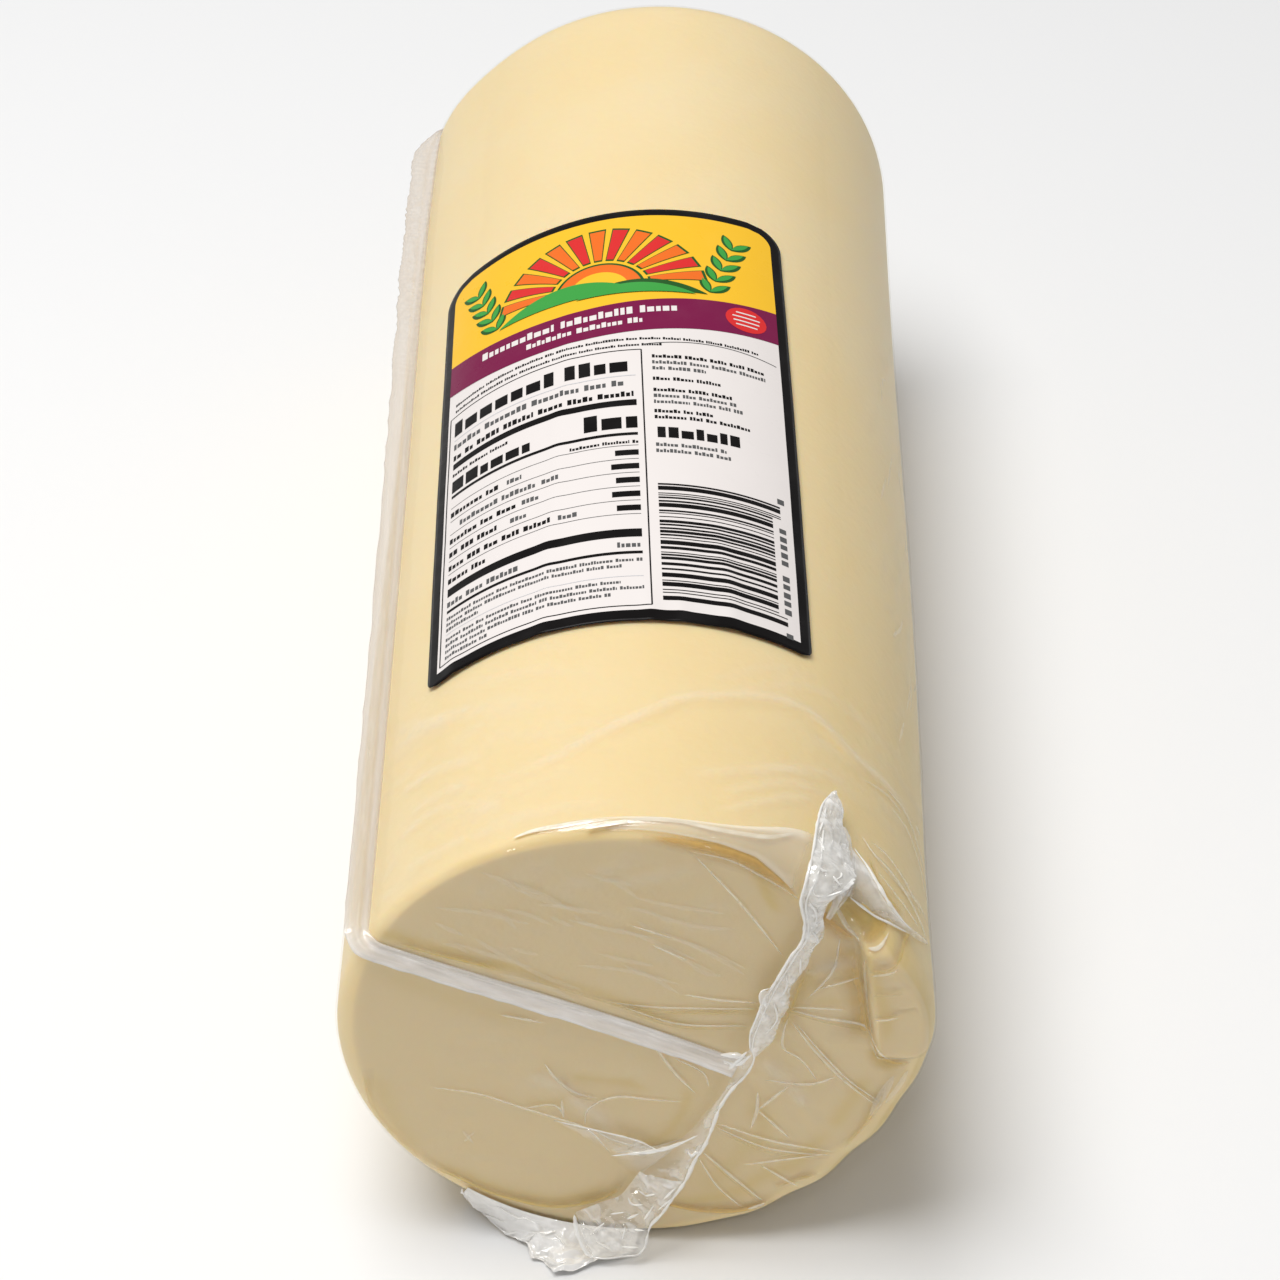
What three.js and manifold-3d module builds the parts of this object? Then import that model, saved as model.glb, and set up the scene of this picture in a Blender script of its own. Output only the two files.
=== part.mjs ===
// A 12 lb deli log of provolone, shrink-wrapped in a clear vacuum bag, with its printed label.
// Millimetres, +Z up. The log lies on its side along Y, its gathered end seal at -Y. The origin is
// on the floor, in the middle of the flat that the cheese rests on.
//
// Surface coordinates of the log: angle is measured round the axis from the top (+Z) towards +X,
// and y runs along the axis.

import * as THREE from 'three';
import { mergeVertices } from 'three/addons/utils/BufferGeometryUtils.js';
import Module from 'manifold-3d';

const wasm = await Module();
wasm.setup();

// ---- Driving dimensions -------------------------------------------------------------------

const DEGREE = Math.PI / 180;

// The log of cheese
const END_RADIUS = 66.7; // a 133 mm log
const HALF_LENGTH = 175; // 350 mm long
const BARREL = 1.3; // the middle is this much fuller than the ends
const AXIS_HEIGHT = 65; // the weight flattens the lowest 1.7 mm at the ends and 3 mm in the middle
const RIM_REFERENCE = 9; // rim radius of the turned blank, before it is reshaped round the log
const FAR_RIM = 10;
const NEAR_RIM = { mean: 6.6, underside: 2 }; // sharper on top than below
const NEAR_RIM_FULLER = [
  { angle: 35 * DEGREE, spread: 12 * DEGREE, extra: 7.5 }, // under the dog-ear
  { angle: 116 * DEGREE, spread: 30 * DEGREE, extra: 5 }, // at the lower right
];
const NEAR_DISH = 1.6; // how far the cut end is drawn in at its middle
// Where the side is fuller or flatter than a plain barrel
const SWELLS = [
  { angle: -68 * DEGREE, spread: 17 * DEGREE, y: 150, length: 110, height: 2.4 }, // along the weld
  { angle: 85 * DEGREE, spread: 35 * DEGREE, y: 90, length: 95, height: -1.3 },
  { angle: 74 * DEGREE, spread: 20 * DEGREE, y: -175, length: 32, height: 1.5 }, // behind the lip
];

// The lip: cheese pressed over the near end at its right edge, seen from the front
const LIP = { x: 61, z: 20, halfWidth: 10, halfHeight: 20, height: 4.6, lean: 0.1, edge: 1.9 };
const LIP_CREASE = { at: 1.12, width: 2.6, depth: 1.3 }; // just outside the lip's outline
const PLEAT_HOLLOW = { x: 47, z: 43, spread: 6.5, depth: 3.4 }; // between the dog-ear and the lip
const RIM_LUMPS = { from: 92 * DEGREE, to: 172 * DEGREE, count: 4.5, height: 1.1, reach: 2.2 };

// The blank's facets
const ROUND_STEPS = 96;
const SIDE_STEPS = 11;
const RIM_STEPS = 5;
const FACE_STEPS = 14;
const FACE_CROWDING = 0.5; // the near end's rings lie closer towards its rim
const FAR_FACE_STEPS = 3;

// Film welded to film
const WELD_THICKNESS = 1.1;
const ROOT_DEPTH = 1.2; // how deep a weld's root sits in the log

// The long weld: it stands on the left side, turns over the near rim and lies on the near end
const LONG_WELD = {
  nearAngle: -60.5 * DEGREE, farAngle: -70 * DEGREE,
  nearHeight: 5.2, farHeight: 6.5, faceHeight: 4.6,
  farStart: 163, farRamp: 12, sideLean: 12 * DEGREE, faceLean: 74 * DEGREE,
  steps: 72, sideShare: 36 / 72, turnShare: 12 / 72,
};
const LONG_WELD_END = { x: 24, z: -4.5 };

// The end seal across the near end: x, z and how far it stands off the cheese
const END_SEAL_ROUTE = [
  { x: 37.8, z: 51, off: 4.5 },
  { x: 36.4, z: 43, off: 3 },
  { x: 34, z: 30.5, off: 2.6 },
  { x: 28.4, z: 16.5, off: 2.4 },
  { x: 26, z: 2, off: 2.4 },
  { x: 25, z: -8, off: 2.4 },
  { x: 18.3, z: -26, off: 2.4 },
  { x: 13.3, z: -41.5, off: 3.5 },
  { x: 8, z: -54, off: 4 },
  { x: 4.2, z: -62, off: 5 },
];
const END_SEAL = {
  ropeWidth: 2.2, bandDrop: 0.8, bandTaper: 1 / 6, crumple: 0.35, crumples: 7, steps: 48, bandSteps: 24,
};
const SEAL_BANDS = [
  { from: 0.03, to: 0.5, hand: 1, narrow: 6, wide: 6.5 }, // right of the rope, above
  { from: 0.52, to: 0.97, hand: -1, narrow: 3.5, wide: 22 }, // left of it, fanning out below
];

// The dog-ear at the top of the end seal, folded back along the side of the log
const EAR = {
  angle: 39.3 * DEGREE, baseY: -174.5, tipY: -148, baseWidth: 9.6, tipWidth: 2.8, taper: 1.5,
  baseOff: 0.6, tipOff: 3, thickness: 1.3, rimFall: 0.4, buriedTo: 0.35, freeFrom: 0.55,
  ripple: 0.35, ripples: 1.4, steps: 14, across: 5,
};

// The ragged tail at the foot of the end seal: its root on the lower rim, its edge on the floor
const TAIL_EDGE = [
  { x: -43.5, y: -161 },
  { x: -33.6, y: -171 },
  { x: -25.2, y: -177 },
  { x: -23.4, y: -182 },
  { x: -17.4, y: -186.5 },
  { x: -9.6, y: -183.6 },
  { x: 3, y: -179 },
];
const TAIL = {
  rootLeft: 219 * DEGREE, rootRight: 176 * DEGREE, rootRadius: 59, rootIn: 2.5, edgeHeight: 1,
  thickness: 1.1, across: 26, down: 7, ripple: 0.5, ripples: 2.7,
};

// The seal of the far end, plain and lying flat on it
const FAR_SEAL = { tilt: 24 * DEGREE, halfLength: 60, width: 8, thickness: 1.2, off: 0.5, steps: 24 };

// The label: a printed strip stuck to the bag
const LABEL = {
  width: 93.9, height: 166.8, angle: -8.65 * DEGREE, y: -24.2, turn: 2.7 * DEGREE,
  thickness: 0.4, gap: 0.35, corner: 9, across: 20, along: 24,
};

// ---- Small helpers ------------------------------------------------------------------------

const clamp01 = (t) => Math.min(1, Math.max(0, t));
const smooth = (t) => clamp01(t) ** 2 * (3 - 2 * clamp01(t));
const mix = (a, b, t) => a + (b - a) * t;
const bell = (distance, spread) => Math.exp(-((distance / spread) ** 2));
const turnBetween = (a, b) => Math.atan2(Math.sin(a - b), Math.cos(a - b));

/** The triangles of a closed geometry with its shared vertices merged, as a manifold solid. */
function solidOf(geometry) {
  const bare = geometry.index ? geometry.toNonIndexed() : geometry.clone();
  bare.deleteAttribute('normal');
  bare.deleteAttribute('uv');
  const merged = mergeVertices(bare, 1e-4);
  const corners = [];
  for (let i = 0; i < merged.index.count; i += 3) {
    const [a, b, c] = [0, 1, 2].map((k) => merged.index.getX(i + k));
    if (a !== b && b !== c && c !== a) corners.push(a, b, c);
  }
  const build = (triVerts) => new wasm.Manifold(new wasm.Mesh({
    numProp: 3,
    vertProperties: new Float32Array(merged.attributes.position.array),
    triVerts: new Uint32Array(triVerts),
  }));
  const solid = build(corners);
  if (solid.volume() > 0) return solid;
  const flipped = [];
  for (let i = 0; i < corners.length; i += 3) flipped.push(corners[i], corners[i + 2], corners[i + 1]);
  return build(flipped);
}

/** A BufferGeometry of a manifold solid. */
function geometryOf(solid) {
  const { vertProperties, triVerts, numProp } = solid.getMesh();
  const positions = new Float32Array((vertProperties.length / numProp) * 3);
  for (let i = 0; i < positions.length / 3; i += 1) {
    positions.set(vertProperties.subarray(i * numProp, i * numProp + 3), i * 3);
  }
  const geometry = new THREE.BufferGeometry();
  geometry.setAttribute('position', new THREE.BufferAttribute(positions, 3));
  geometry.setIndex(new THREE.BufferAttribute(new Uint32Array(triVerts), 1));
  geometry.computeVertexNormals();
  return geometry;
}

/**
 * A box of a x b x c cells whose every corner is carried to place(s, t, side): s and t run from
 * 0 to 1 along and across the sheet, and side is -0.5 on its one face and 0.5 on the other.
 */
function bentSheet(along, across, place) {
  const box = new THREE.BoxGeometry(1, 1, 1, along, across, 1);
  const at = box.attributes.position;
  for (let i = 0; i < at.count; i += 1) {
    const point = place(at.getX(i) + 0.5, at.getY(i) + 0.5, at.getZ(i));
    at.setXYZ(i, point.x, point.y, point.z);
  }
  return box;
}

// ---- The log ------------------------------------------------------------------------------

/** Radius of the log's side at an angle and a place along it, before the floor flattens it. */
function sideRadius(angle, y) {
  const barrel = BARREL * (1 - (y / HALF_LENGTH) ** 2);
  const swells = SWELLS.map((swell) => (
    swell.height * bell(y - swell.y, swell.length) * bell(turnBetween(angle, swell.angle), swell.spread)
  ));
  return swells.reduce((sum, swell) => sum + swell, END_RADIUS + barrel);
}

/** Radius of the near rim's round at an angle. */
function nearRim(angle) {
  const fuller = NEAR_RIM_FULLER.map((place) => (
    place.extra * bell(turnBetween(angle, place.angle), place.spread)
  ));
  return fuller.reduce((sum, extra) => sum + extra, NEAR_RIM.mean - NEAR_RIM.underside * Math.cos(angle));
}

/** How far the near end stands out of its plane at x and height z above the axis. */
function nearRelief(x, z) {
  const along = (z - LIP.z) / LIP.halfHeight;
  const across = (x - LIP.x - LIP.lean * (z - LIP.z)) / LIP.halfWidth;
  const inLip = Math.hypot(along, Math.min(across, 0));
  const lip = LIP.height * smooth((1 - inLip) * LIP.edge);
  const crease = LIP_CREASE.depth * bell((inLip - LIP_CREASE.at) * LIP.halfWidth, LIP_CREASE.width);
  const fromPleat = Math.hypot(x - PLEAT_HOLLOW.x, z - PLEAT_HOLLOW.z);
  const hollow = PLEAT_HOLLOW.depth * bell(fromPleat, PLEAT_HOLLOW.spread);
  const dish = NEAR_DISH * (1 - smooth(Math.hypot(x, z) / END_RADIUS));
  return lip - crease - hollow - dish;
}

/** Lumps along the lower right of the near rim, where the cheese's skin is gathered. */
function rimLumps(angle) {
  const turn = angle < 0 ? angle + 2 * Math.PI : angle;
  const t = (turn - RIM_LUMPS.from) / (RIM_LUMPS.to - RIM_LUMPS.from);
  if (t <= 0 || t >= 1) return 0;
  const lumps = 0.5 + 0.5 * Math.cos(2 * Math.PI * RIM_LUMPS.count * t);
  return -RIM_LUMPS.height * Math.sin(Math.PI * t) * lumps;
}

/** The turned blank: a lathe profile from the middle of the near end to that of the far end. */
function logBlank() {
  const profile = [];
  const flat = END_RADIUS - RIM_REFERENCE;
  for (let i = 0; i < FACE_STEPS; i += 1) {
    profile.push([flat * (i / FACE_STEPS) ** FACE_CROWDING, -HALF_LENGTH]);
  }
  const round = (centreY, from, steps) => {
    for (let i = 0; i <= steps; i += 1) {
      const a = from + (i / steps) * 90 * DEGREE;
      profile.push([flat + RIM_REFERENCE * Math.cos(a), centreY + RIM_REFERENCE * Math.sin(a)]);
    }
  };
  round(-HALF_LENGTH + RIM_REFERENCE, -90 * DEGREE, RIM_STEPS);
  for (let i = 1; i < SIDE_STEPS; i += 1) {
    profile.push([END_RADIUS, mix(-1, 1, i / SIDE_STEPS) * (HALF_LENGTH - RIM_REFERENCE)]);
  }
  round(HALF_LENGTH - RIM_REFERENCE, 0, RIM_STEPS);
  for (let i = FAR_FACE_STEPS - 1; i >= 0; i -= 1) profile.push([(flat * i) / FAR_FACE_STEPS, HALF_LENGTH]);
  return new THREE.LatheGeometry(profile.map(([r, y]) => new THREE.Vector2(r, y)), ROUND_STEPS);
}

/** Carries a point of the blank to the log's real surface. */
function reshape(blank) {
  const radius = Math.hypot(blank.x, blank.z);
  const angle = Math.atan2(blank.x, blank.z);
  const end = Math.sign(blank.y);
  const rim = end < 0 ? nearRim(angle) : FAR_RIM;
  const flat = END_RADIUS - RIM_REFERENCE;
  const sideEnd = HALF_LENGTH - RIM_REFERENCE;
  let r;
  let y;
  if (Math.abs(blank.y) <= sideEnd) {
    y = blank.y * ((HALF_LENGTH - rim) / sideEnd);
    r = sideRadius(angle, y);
  } else {
    const fromFlat = Math.max(0, radius - flat) / RIM_REFERENCE;
    const inwards = (Math.abs(blank.y) - sideEnd) / RIM_REFERENCE;
    y = end * (HALF_LENGTH - rim + rim * inwards);
    const edge = sideRadius(angle, y) - rim;
    r = radius < flat ? (edge * radius) / flat : edge + rim * fromFlat;
  }
  if (end < 0) {
    const reach = RIM_LUMPS.reach * rim;
    const nearness = smooth((-y - HALF_LENGTH + reach) / reach);
    r += rimLumps(angle) * nearness * smooth(r / END_RADIUS);
    y -= nearRelief(r * Math.sin(angle), r * Math.cos(angle)) * smooth((-y - HALF_LENGTH + rim) / rim);
  }
  const height = AXIS_HEIGHT + r * Math.cos(angle);
  return new THREE.Vector3(r * Math.sin(angle), y, Math.max(0, height));
}

function makeLog() {
  const log = logBlank();
  const at = log.attributes.position;
  for (let i = 0; i < at.count; i += 1) {
    const point = reshape(new THREE.Vector3().fromBufferAttribute(at, i));
    at.setXYZ(i, point.x, point.y, point.z);
  }
  return solidOf(log);
}

/** A point at an angle and place on the log's side, off the surface by a distance. */
function onSide(angle, y, off = 0) {
  const r = sideRadius(angle, y) + off;
  return new THREE.Vector3(r * Math.sin(angle), y, AXIS_HEIGHT + r * Math.cos(angle));
}

/** A point of the near end at x and height z above the axis, in front of the cheese by a distance. */
function onNearEnd(x, z, off = 0) {
  const angle = Math.atan2(x, z);
  const rim = nearRim(angle);
  const intoRim = Math.min(rim, Math.max(0, Math.hypot(x, z) - sideRadius(angle, -HALF_LENGTH) + rim));
  const fall = rim - Math.sqrt(rim ** 2 - intoRim ** 2);
  const relief = nearRelief(x, z) * smooth(1 - fall / rim);
  return new THREE.Vector3(x, -HALF_LENGTH + fall - relief - off, AXIS_HEIGHT + z);
}

// ---- Welds of the bag ---------------------------------------------------------------------

/** A weld's two directions, its reach and its thickness, as it leans from upright to lying flat. */
function leaning(upright, flat, lean) {
  return {
    out: upright.clone().multiplyScalar(Math.cos(lean)).addScaledVector(flat, Math.sin(lean)),
    through: flat.clone().multiplyScalar(Math.cos(lean)).addScaledVector(upright, -Math.sin(lean)),
  };
}

/** The long weld: along the log's side, round its near rim and across its near end. */
function makeLongWeld() {
  const { nearAngle, farAngle, nearHeight, farHeight, faceHeight, farStart, farRamp } = LONG_WELD;
  const rim = nearRim(nearAngle);
  const flatRadius = sideRadius(nearAngle, -HALF_LENGTH) - rim;
  const corner = new THREE.Vector2(Math.sin(nearAngle), Math.cos(nearAngle));
  const start = corner.clone().multiplyScalar(flatRadius);
  const end = new THREE.Vector2(LONG_WELD_END.x, LONG_WELD_END.z);
  const run = end.clone().sub(start).normalize();
  const sideLength = farStart + HALF_LENGTH - rim;
  const turnLength = (rim * Math.PI) / 2;
  const faceLength = start.distanceTo(end);

  const alongSide = (gone) => {
    const y = farStart - gone;
    const share = (y + HALF_LENGTH) / (2 * HALF_LENGTH);
    const angle = mix(nearAngle, farAngle, smooth(share));
    const upright = new THREE.Vector3(Math.sin(angle), 0, Math.cos(angle));
    const flat = new THREE.Vector3(-Math.cos(angle), 0, Math.sin(angle));
    const height = mix(nearHeight, farHeight, share) * smooth(gone / farRamp + 0.15);
    return { root: onSide(angle, y), height, ...leaning(upright, flat, LONG_WELD.sideLean) };
  };
  const roundRim = (gone) => {
    const turn = gone / rim;
    const share = smooth(turn / (Math.PI / 2));
    const r = flatRadius + rim * Math.cos(turn);
    const y = -HALF_LENGTH + rim * (1 - Math.sin(turn));
    const root = new THREE.Vector3(corner.x * r, y, AXIS_HEIGHT + corner.y * r);
    const upright = new THREE.Vector3(corner.x * Math.cos(turn), -Math.sin(turn), corner.y * Math.cos(turn));
    const flat = new THREE.Vector3(mix(-corner.y, run.y, share), 0, mix(corner.x, -run.x, share)).normalize();
    const height = mix(nearHeight, faceHeight, share);
    return { root, height, ...leaning(upright, flat, mix(LONG_WELD.sideLean, LONG_WELD.faceLean, share)) };
  };
  const acrossFace = (gone) => {
    const point = start.clone().addScaledVector(run, gone);
    const upright = new THREE.Vector3(0, -1, 0);
    const flat = new THREE.Vector3(run.y, 0, -run.x);
    const root = onNearEnd(point.x, point.y);
    return { root, height: faceHeight, ...leaning(upright, flat, LONG_WELD.faceLean) };
  };
  const sheet = (s, t, side) => {
    const { sideShare, turnShare } = LONG_WELD;
    const faceFrom = sideShare + turnShare;
    let place;
    if (s < sideShare) place = alongSide((s / sideShare) * sideLength);
    else if (s < faceFrom) place = roundRim(((s - sideShare) / turnShare) * turnLength);
    else place = acrossFace(((s - faceFrom) / (1 - faceFrom)) * faceLength);
    return place.root
      .addScaledVector(place.out, mix(-ROOT_DEPTH, place.height, t))
      .addScaledVector(place.through, side * WELD_THICKNESS);
  };
  return solidOf(bentSheet(LONG_WELD.steps, 2, sheet));
}

const endSealRoute = new THREE.CatmullRomCurve3(
  END_SEAL_ROUTE.map(({ x, z, off }) => new THREE.Vector3(x, off, z)),
);

/** A point beside the end seal's route: level with its film plus a lift, or buried in the cheese. */
function besideEndSeal(s, across, lift, buried) {
  const here = endSealRoute.getPoint(s);
  const run = endSealRoute.getTangent(s);
  const sideways = new THREE.Vector2(-run.z, run.x).normalize().multiplyScalar(across);
  return onNearEnd(here.x + sideways.x, here.z + sideways.y, buried ? -ROOT_DEPTH : here.y + lift);
}

/** The thick rope of gathered film along the end seal's edge. */
function makeSealRope() {
  const sheet = (s, t, side) => {
    const wave = END_SEAL.crumple * Math.sin(2 * Math.PI * END_SEAL.crumples * s);
    return besideEndSeal(s, mix(-0.5, 0.5, t) * END_SEAL.ropeWidth, wave, side < 0);
  };
  return solidOf(bentSheet(END_SEAL.steps, 1, sheet));
}

/** A crumpled band on one hand of the rope, from one share of its route to another, widening. */
function makeSealBand({ from, to, hand, narrow, wide }) {
  const sheet = (s, t, side) => {
    const gone = mix(from, to, s);
    const fromEnd = Math.min(s, 1 - s) / END_SEAL.bandTaper;
    const width = mix(narrow, wide, s ** 2) * smooth(fromEnd + 0.1);
    const wave = END_SEAL.crumple * Math.sin(2 * Math.PI * (END_SEAL.crumples * gone + t / 2));
    return besideEndSeal(gone, hand * width * t, wave - END_SEAL.bandDrop * (t + 0.3), side < 0);
  };
  return solidOf(bentSheet(END_SEAL.bandSteps, 3, sheet));
}

/** The dog-ear that is folded back over the top right of the rim. */
function makeEar() {
  const sheet = (s, t, side) => {
    const y = mix(EAR.baseY, EAR.tipY, s);
    const width = mix(EAR.baseWidth, EAR.tipWidth, s ** EAR.taper);
    const angle = EAR.angle + ((t - 0.5) * width) / END_RADIUS;
    const ripple = EAR.ripple * Math.sin(2 * Math.PI * (EAR.ripples * s + t));
    const rim = nearRim(angle);
    const beyond = Math.min(rim, Math.max(0, rim - y - HALF_LENGTH));
    const fall = rim - Math.sqrt(rim ** 2 - beyond ** 2);
    const top = mix(EAR.baseOff, EAR.tipOff, s) + ripple - fall * EAR.rimFall;
    const freed = smooth((s - EAR.buriedTo) / (EAR.freeFrom - EAR.buriedTo));
    const bottom = mix(-fall - ROOT_DEPTH, top - EAR.thickness, freed);
    return onSide(angle, y, side > 0 ? top : Math.min(bottom, top - EAR.thickness));
  };
  return solidOf(bentSheet(EAR.steps, EAR.across, sheet));
}

/** The ragged tail, from the lower rim out onto the floor. */
function makeTail() {
  const edge = new THREE.CatmullRomCurve3(TAIL_EDGE.map(({ x, y }) => new THREE.Vector3(x, y, 0)));
  const sheet = (s, t, side) => {
    const toe = edge.getPoint(s);
    const angle = mix(TAIL.rootLeft, TAIL.rootRight, s);
    const [rootX, rootZ] = [Math.sin(angle), Math.cos(angle)].map((v) => v * TAIL.rootRadius);
    const root = onNearEnd(rootX, rootZ, -TAIL.rootIn);
    const bend = Math.sin((t * Math.PI) / 2);
    const ripple = TAIL.ripple * Math.sin(2 * Math.PI * (TAIL.ripples * s + t / 2)) * Math.sin(Math.PI * t);
    return new THREE.Vector3(
      mix(root.x, toe.x, t),
      mix(root.y, toe.y, t) - (side + 0.5) * TAIL.thickness,
      mix(root.z, TAIL.edgeHeight, bend) + ripple + (side + 0.5) * TAIL.thickness,
    );
  };
  return solidOf(bentSheet(TAIL.across, TAIL.down, sheet));
}

/** The far end's seal: a plain band lying across that end. */
function makeFarSeal() {
  const run = new THREE.Vector2(Math.sin(FAR_SEAL.tilt), Math.cos(FAR_SEAL.tilt));
  const sheet = (s, t, side) => {
    const gone = mix(-1, 1, s) * FAR_SEAL.halfLength;
    const across = mix(-0.5, 0.5, t) * FAR_SEAL.width;
    const lift = side > 0 ? FAR_SEAL.off + FAR_SEAL.thickness : -ROOT_DEPTH;
    return new THREE.Vector3(
      run.x * gone + run.y * across,
      HALF_LENGTH + lift,
      AXIS_HEIGHT + run.y * gone - run.x * across,
    );
  };
  return solidOf(bentSheet(FAR_SEAL.steps, 1, sheet));
}

// ---- The label ----------------------------------------------------------------------------

/** Carries a point of the flat label, x to its right and y to its top, onto the bag. */
function onLabel(x, y, off) {
  const turned = new THREE.Vector2(x, y).rotateAround(new THREE.Vector2(0, 0), LABEL.turn);
  return onSide(LABEL.angle + turned.x / END_RADIUS, LABEL.y + turned.y, LABEL.gap + off);
}

function makeLabel() {
  const sheet = (s, t, side) => {
    const y = mix(-0.5, 0.5, s) * LABEL.height;
    const intoCorner = Math.max(0, LABEL.corner - (LABEL.height / 2 - y));
    const cut = LABEL.corner - Math.sqrt(LABEL.corner ** 2 - intoCorner ** 2);
    const x = mix(-0.5, 0.5, t) * (LABEL.width - 2 * cut);
    return onLabel(x, y, (side + 0.5) * LABEL.thickness);
  };
  return solidOf(bentSheet(LABEL.along, LABEL.across, sheet));
}

// ---- The scene graph ----------------------------------------------------------------------

const bagFinish = new THREE.MeshStandardMaterial({ color: 0xf3deab, roughness: 0.3, metalness: 0 });
const labelFinish = new THREE.MeshStandardMaterial({ color: 0xf2f0ec, roughness: 0.4, metalness: 0 });

function pieceOf(name, solid, material) {
  const mesh = new THREE.Mesh(geometryOf(solid), material);
  mesh.name = name;
  return mesh;
}

const welds = [
  makeLongWeld(), makeSealRope(), ...SEAL_BANDS.map(makeSealBand), makeEar(), makeTail(), makeFarSeal(),
];
const baggedCheese = welds.reduce((whole, weld) => whole.add(weld), makeLog());

const provolone = new THREE.Group();
provolone.add(pieceOf('bagged_cheese', baggedCheese, bagFinish));
provolone.add(pieceOf('label', makeLabel(), labelFinish));

export default provolone;
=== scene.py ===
"""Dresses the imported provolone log: the cheese, its clear shrink bag, the bag's welds and the label.

Sizes are in millimetres on the log's own surface formulas and are carried to metres as each mesh is
finished. Angles round the log are measured from its top (+Z) towards +X; a place on the near end is
given by x and by z above the log's axis.
"""

import logging
import math
from collections.abc import Callable
from dataclasses import dataclass
from enum import Enum

import bmesh
import bpy
import numpy as np
from mathutils import Matrix, Vector, noise


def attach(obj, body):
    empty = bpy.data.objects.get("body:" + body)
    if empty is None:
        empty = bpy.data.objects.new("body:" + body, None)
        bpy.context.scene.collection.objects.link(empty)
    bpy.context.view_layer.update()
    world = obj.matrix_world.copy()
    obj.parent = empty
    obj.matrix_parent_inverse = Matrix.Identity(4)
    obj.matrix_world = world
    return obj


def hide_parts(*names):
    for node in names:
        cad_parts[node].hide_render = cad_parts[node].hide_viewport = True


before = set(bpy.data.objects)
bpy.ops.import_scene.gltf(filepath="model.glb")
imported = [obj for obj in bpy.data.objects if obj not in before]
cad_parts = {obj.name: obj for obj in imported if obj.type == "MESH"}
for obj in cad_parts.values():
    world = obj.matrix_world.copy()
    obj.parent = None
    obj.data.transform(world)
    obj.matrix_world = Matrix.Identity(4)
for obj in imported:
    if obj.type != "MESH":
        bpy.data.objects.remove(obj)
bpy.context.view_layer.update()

LOG = logging.getLogger("provolone")
MM = 0.001
BODY = "root"
CHEESE_NODE = "bagged_cheese"
LABEL_NODE = "label"
TINY = 1e-9
Array = np.ndarray
BMesh = bmesh.types.BMesh
Material = bpy.types.Material
Mesh = bpy.types.Mesh
Object = bpy.types.Object
Socket = bpy.types.NodeSocket
Carry = Callable[[Array, Array], Array]
Shape = Callable[[Array, Array], tuple[Array, Array]]
Place2D = tuple[float, float]
Point = tuple[float, float, float]
Line = tuple[Place2D, ...]
Path = tuple[Point, ...]
Colour = tuple[float, float, float]
Raised = tuple[Object, Array, Array]


# ---- Small helpers --------------------------------------------------------------------------


def smooth(t: Array) -> Array:
    """An ease from 0 to 1 as t goes from 0 to 1."""
    t = np.clip(t, 0.0, 1.0)
    return t * t * (3.0 - 2.0 * t)


def mix(a: Array, b: Array, t: Array) -> Array:
    """The value a share t of the way from a to b."""
    return a + (b - a) * t


def bell(distance: Array, spread: float) -> Array:
    """A bell of height 1 that has fallen to 1/e at the spread."""
    return np.exp(-((distance / spread) ** 2))


def turn_between(a: Array, b: float) -> Array:
    """The signed turn in radians from angle b to angle a."""
    return np.arctan2(np.sin(a - b), np.cos(a - b))


def stack(x: Array, y: Array, z: Array) -> Array:
    """Points from their three coordinates, as rows."""
    return np.stack(np.broadcast_arrays(x, y, z), axis=-1)


def unit(rows: Array) -> Array:
    """Each row scaled to a length of 1."""
    return rows / (np.linalg.norm(rows, axis=1)[:, None] + TINY)


def spline(points: Line | Path, share: Array) -> Array:
    """Points of a smooth curve through given points.

    Args:
        points: The points that the curve passes through, in order.
        share: Where to read the curve, from 0 at its start to 1 at its end.

    Returns:
        One row for each share.
    """
    knots = np.array(points, float)
    if len(knots) == 2:
        return mix(knots[0], knots[1], np.asarray(share)[:, None])
    lengths = np.linalg.norm(np.diff(knots, axis=0), axis=1)
    at = np.concatenate([[0.0], np.cumsum(lengths)]) / lengths.sum()
    slopes = np.gradient(knots, at, axis=0)
    i = np.clip(np.searchsorted(at, share, side="right") - 1, 0, len(knots) - 2)
    step = at[i + 1] - at[i]
    t = ((share - at[i]) / step)[:, None]
    step = step[:, None]
    return (
        (2 * t**3 - 3 * t**2 + 1) * knots[i]
        + (t**3 - 2 * t**2 + t) * step * slopes[i]
        + (3 * t**2 - 2 * t**3) * knots[i + 1]
        + (t**3 - t**2) * step * slopes[i + 1]
    )


def heading(points: Line | Path, share: Array, reach: float = 0.01) -> Array:
    """How the same curve runs at shares of it, from a little before to a little after."""
    return spline(points, np.clip(share + reach, 0, 1)) - spline(points, np.clip(share - reach, 0, 1))


def distance_to_line(u: Array, v: Array, line: Array) -> tuple[Array, Array]:
    """How far points are from a line of short pieces, and how far along it they are.

    Args:
        u: The points' first coordinates.
        v: The points' second coordinates.
        line: The line's corners, one a row.

    Returns:
        The distances, and the shares of the line's length at the nearest places.
    """
    best = np.full(u.shape, np.inf)
    share = np.zeros(u.shape)
    count = len(line) - 1
    for k in range(count):
        (u0, v0), (u1, v1) = line[k], line[k + 1]
        du, dv = u1 - u0, v1 - v0
        t = np.clip(((u - u0) * du + (v - v0) * dv) / (du * du + dv * dv + 1e-12), 0, 1)
        gap = np.hypot(u - u0 - t * du, v - v0 - t * dv)
        nearer = gap < best
        best = np.where(nearer, gap, best)
        share = np.where(nearer, (k + t) / count, share)
    return best, share


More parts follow.
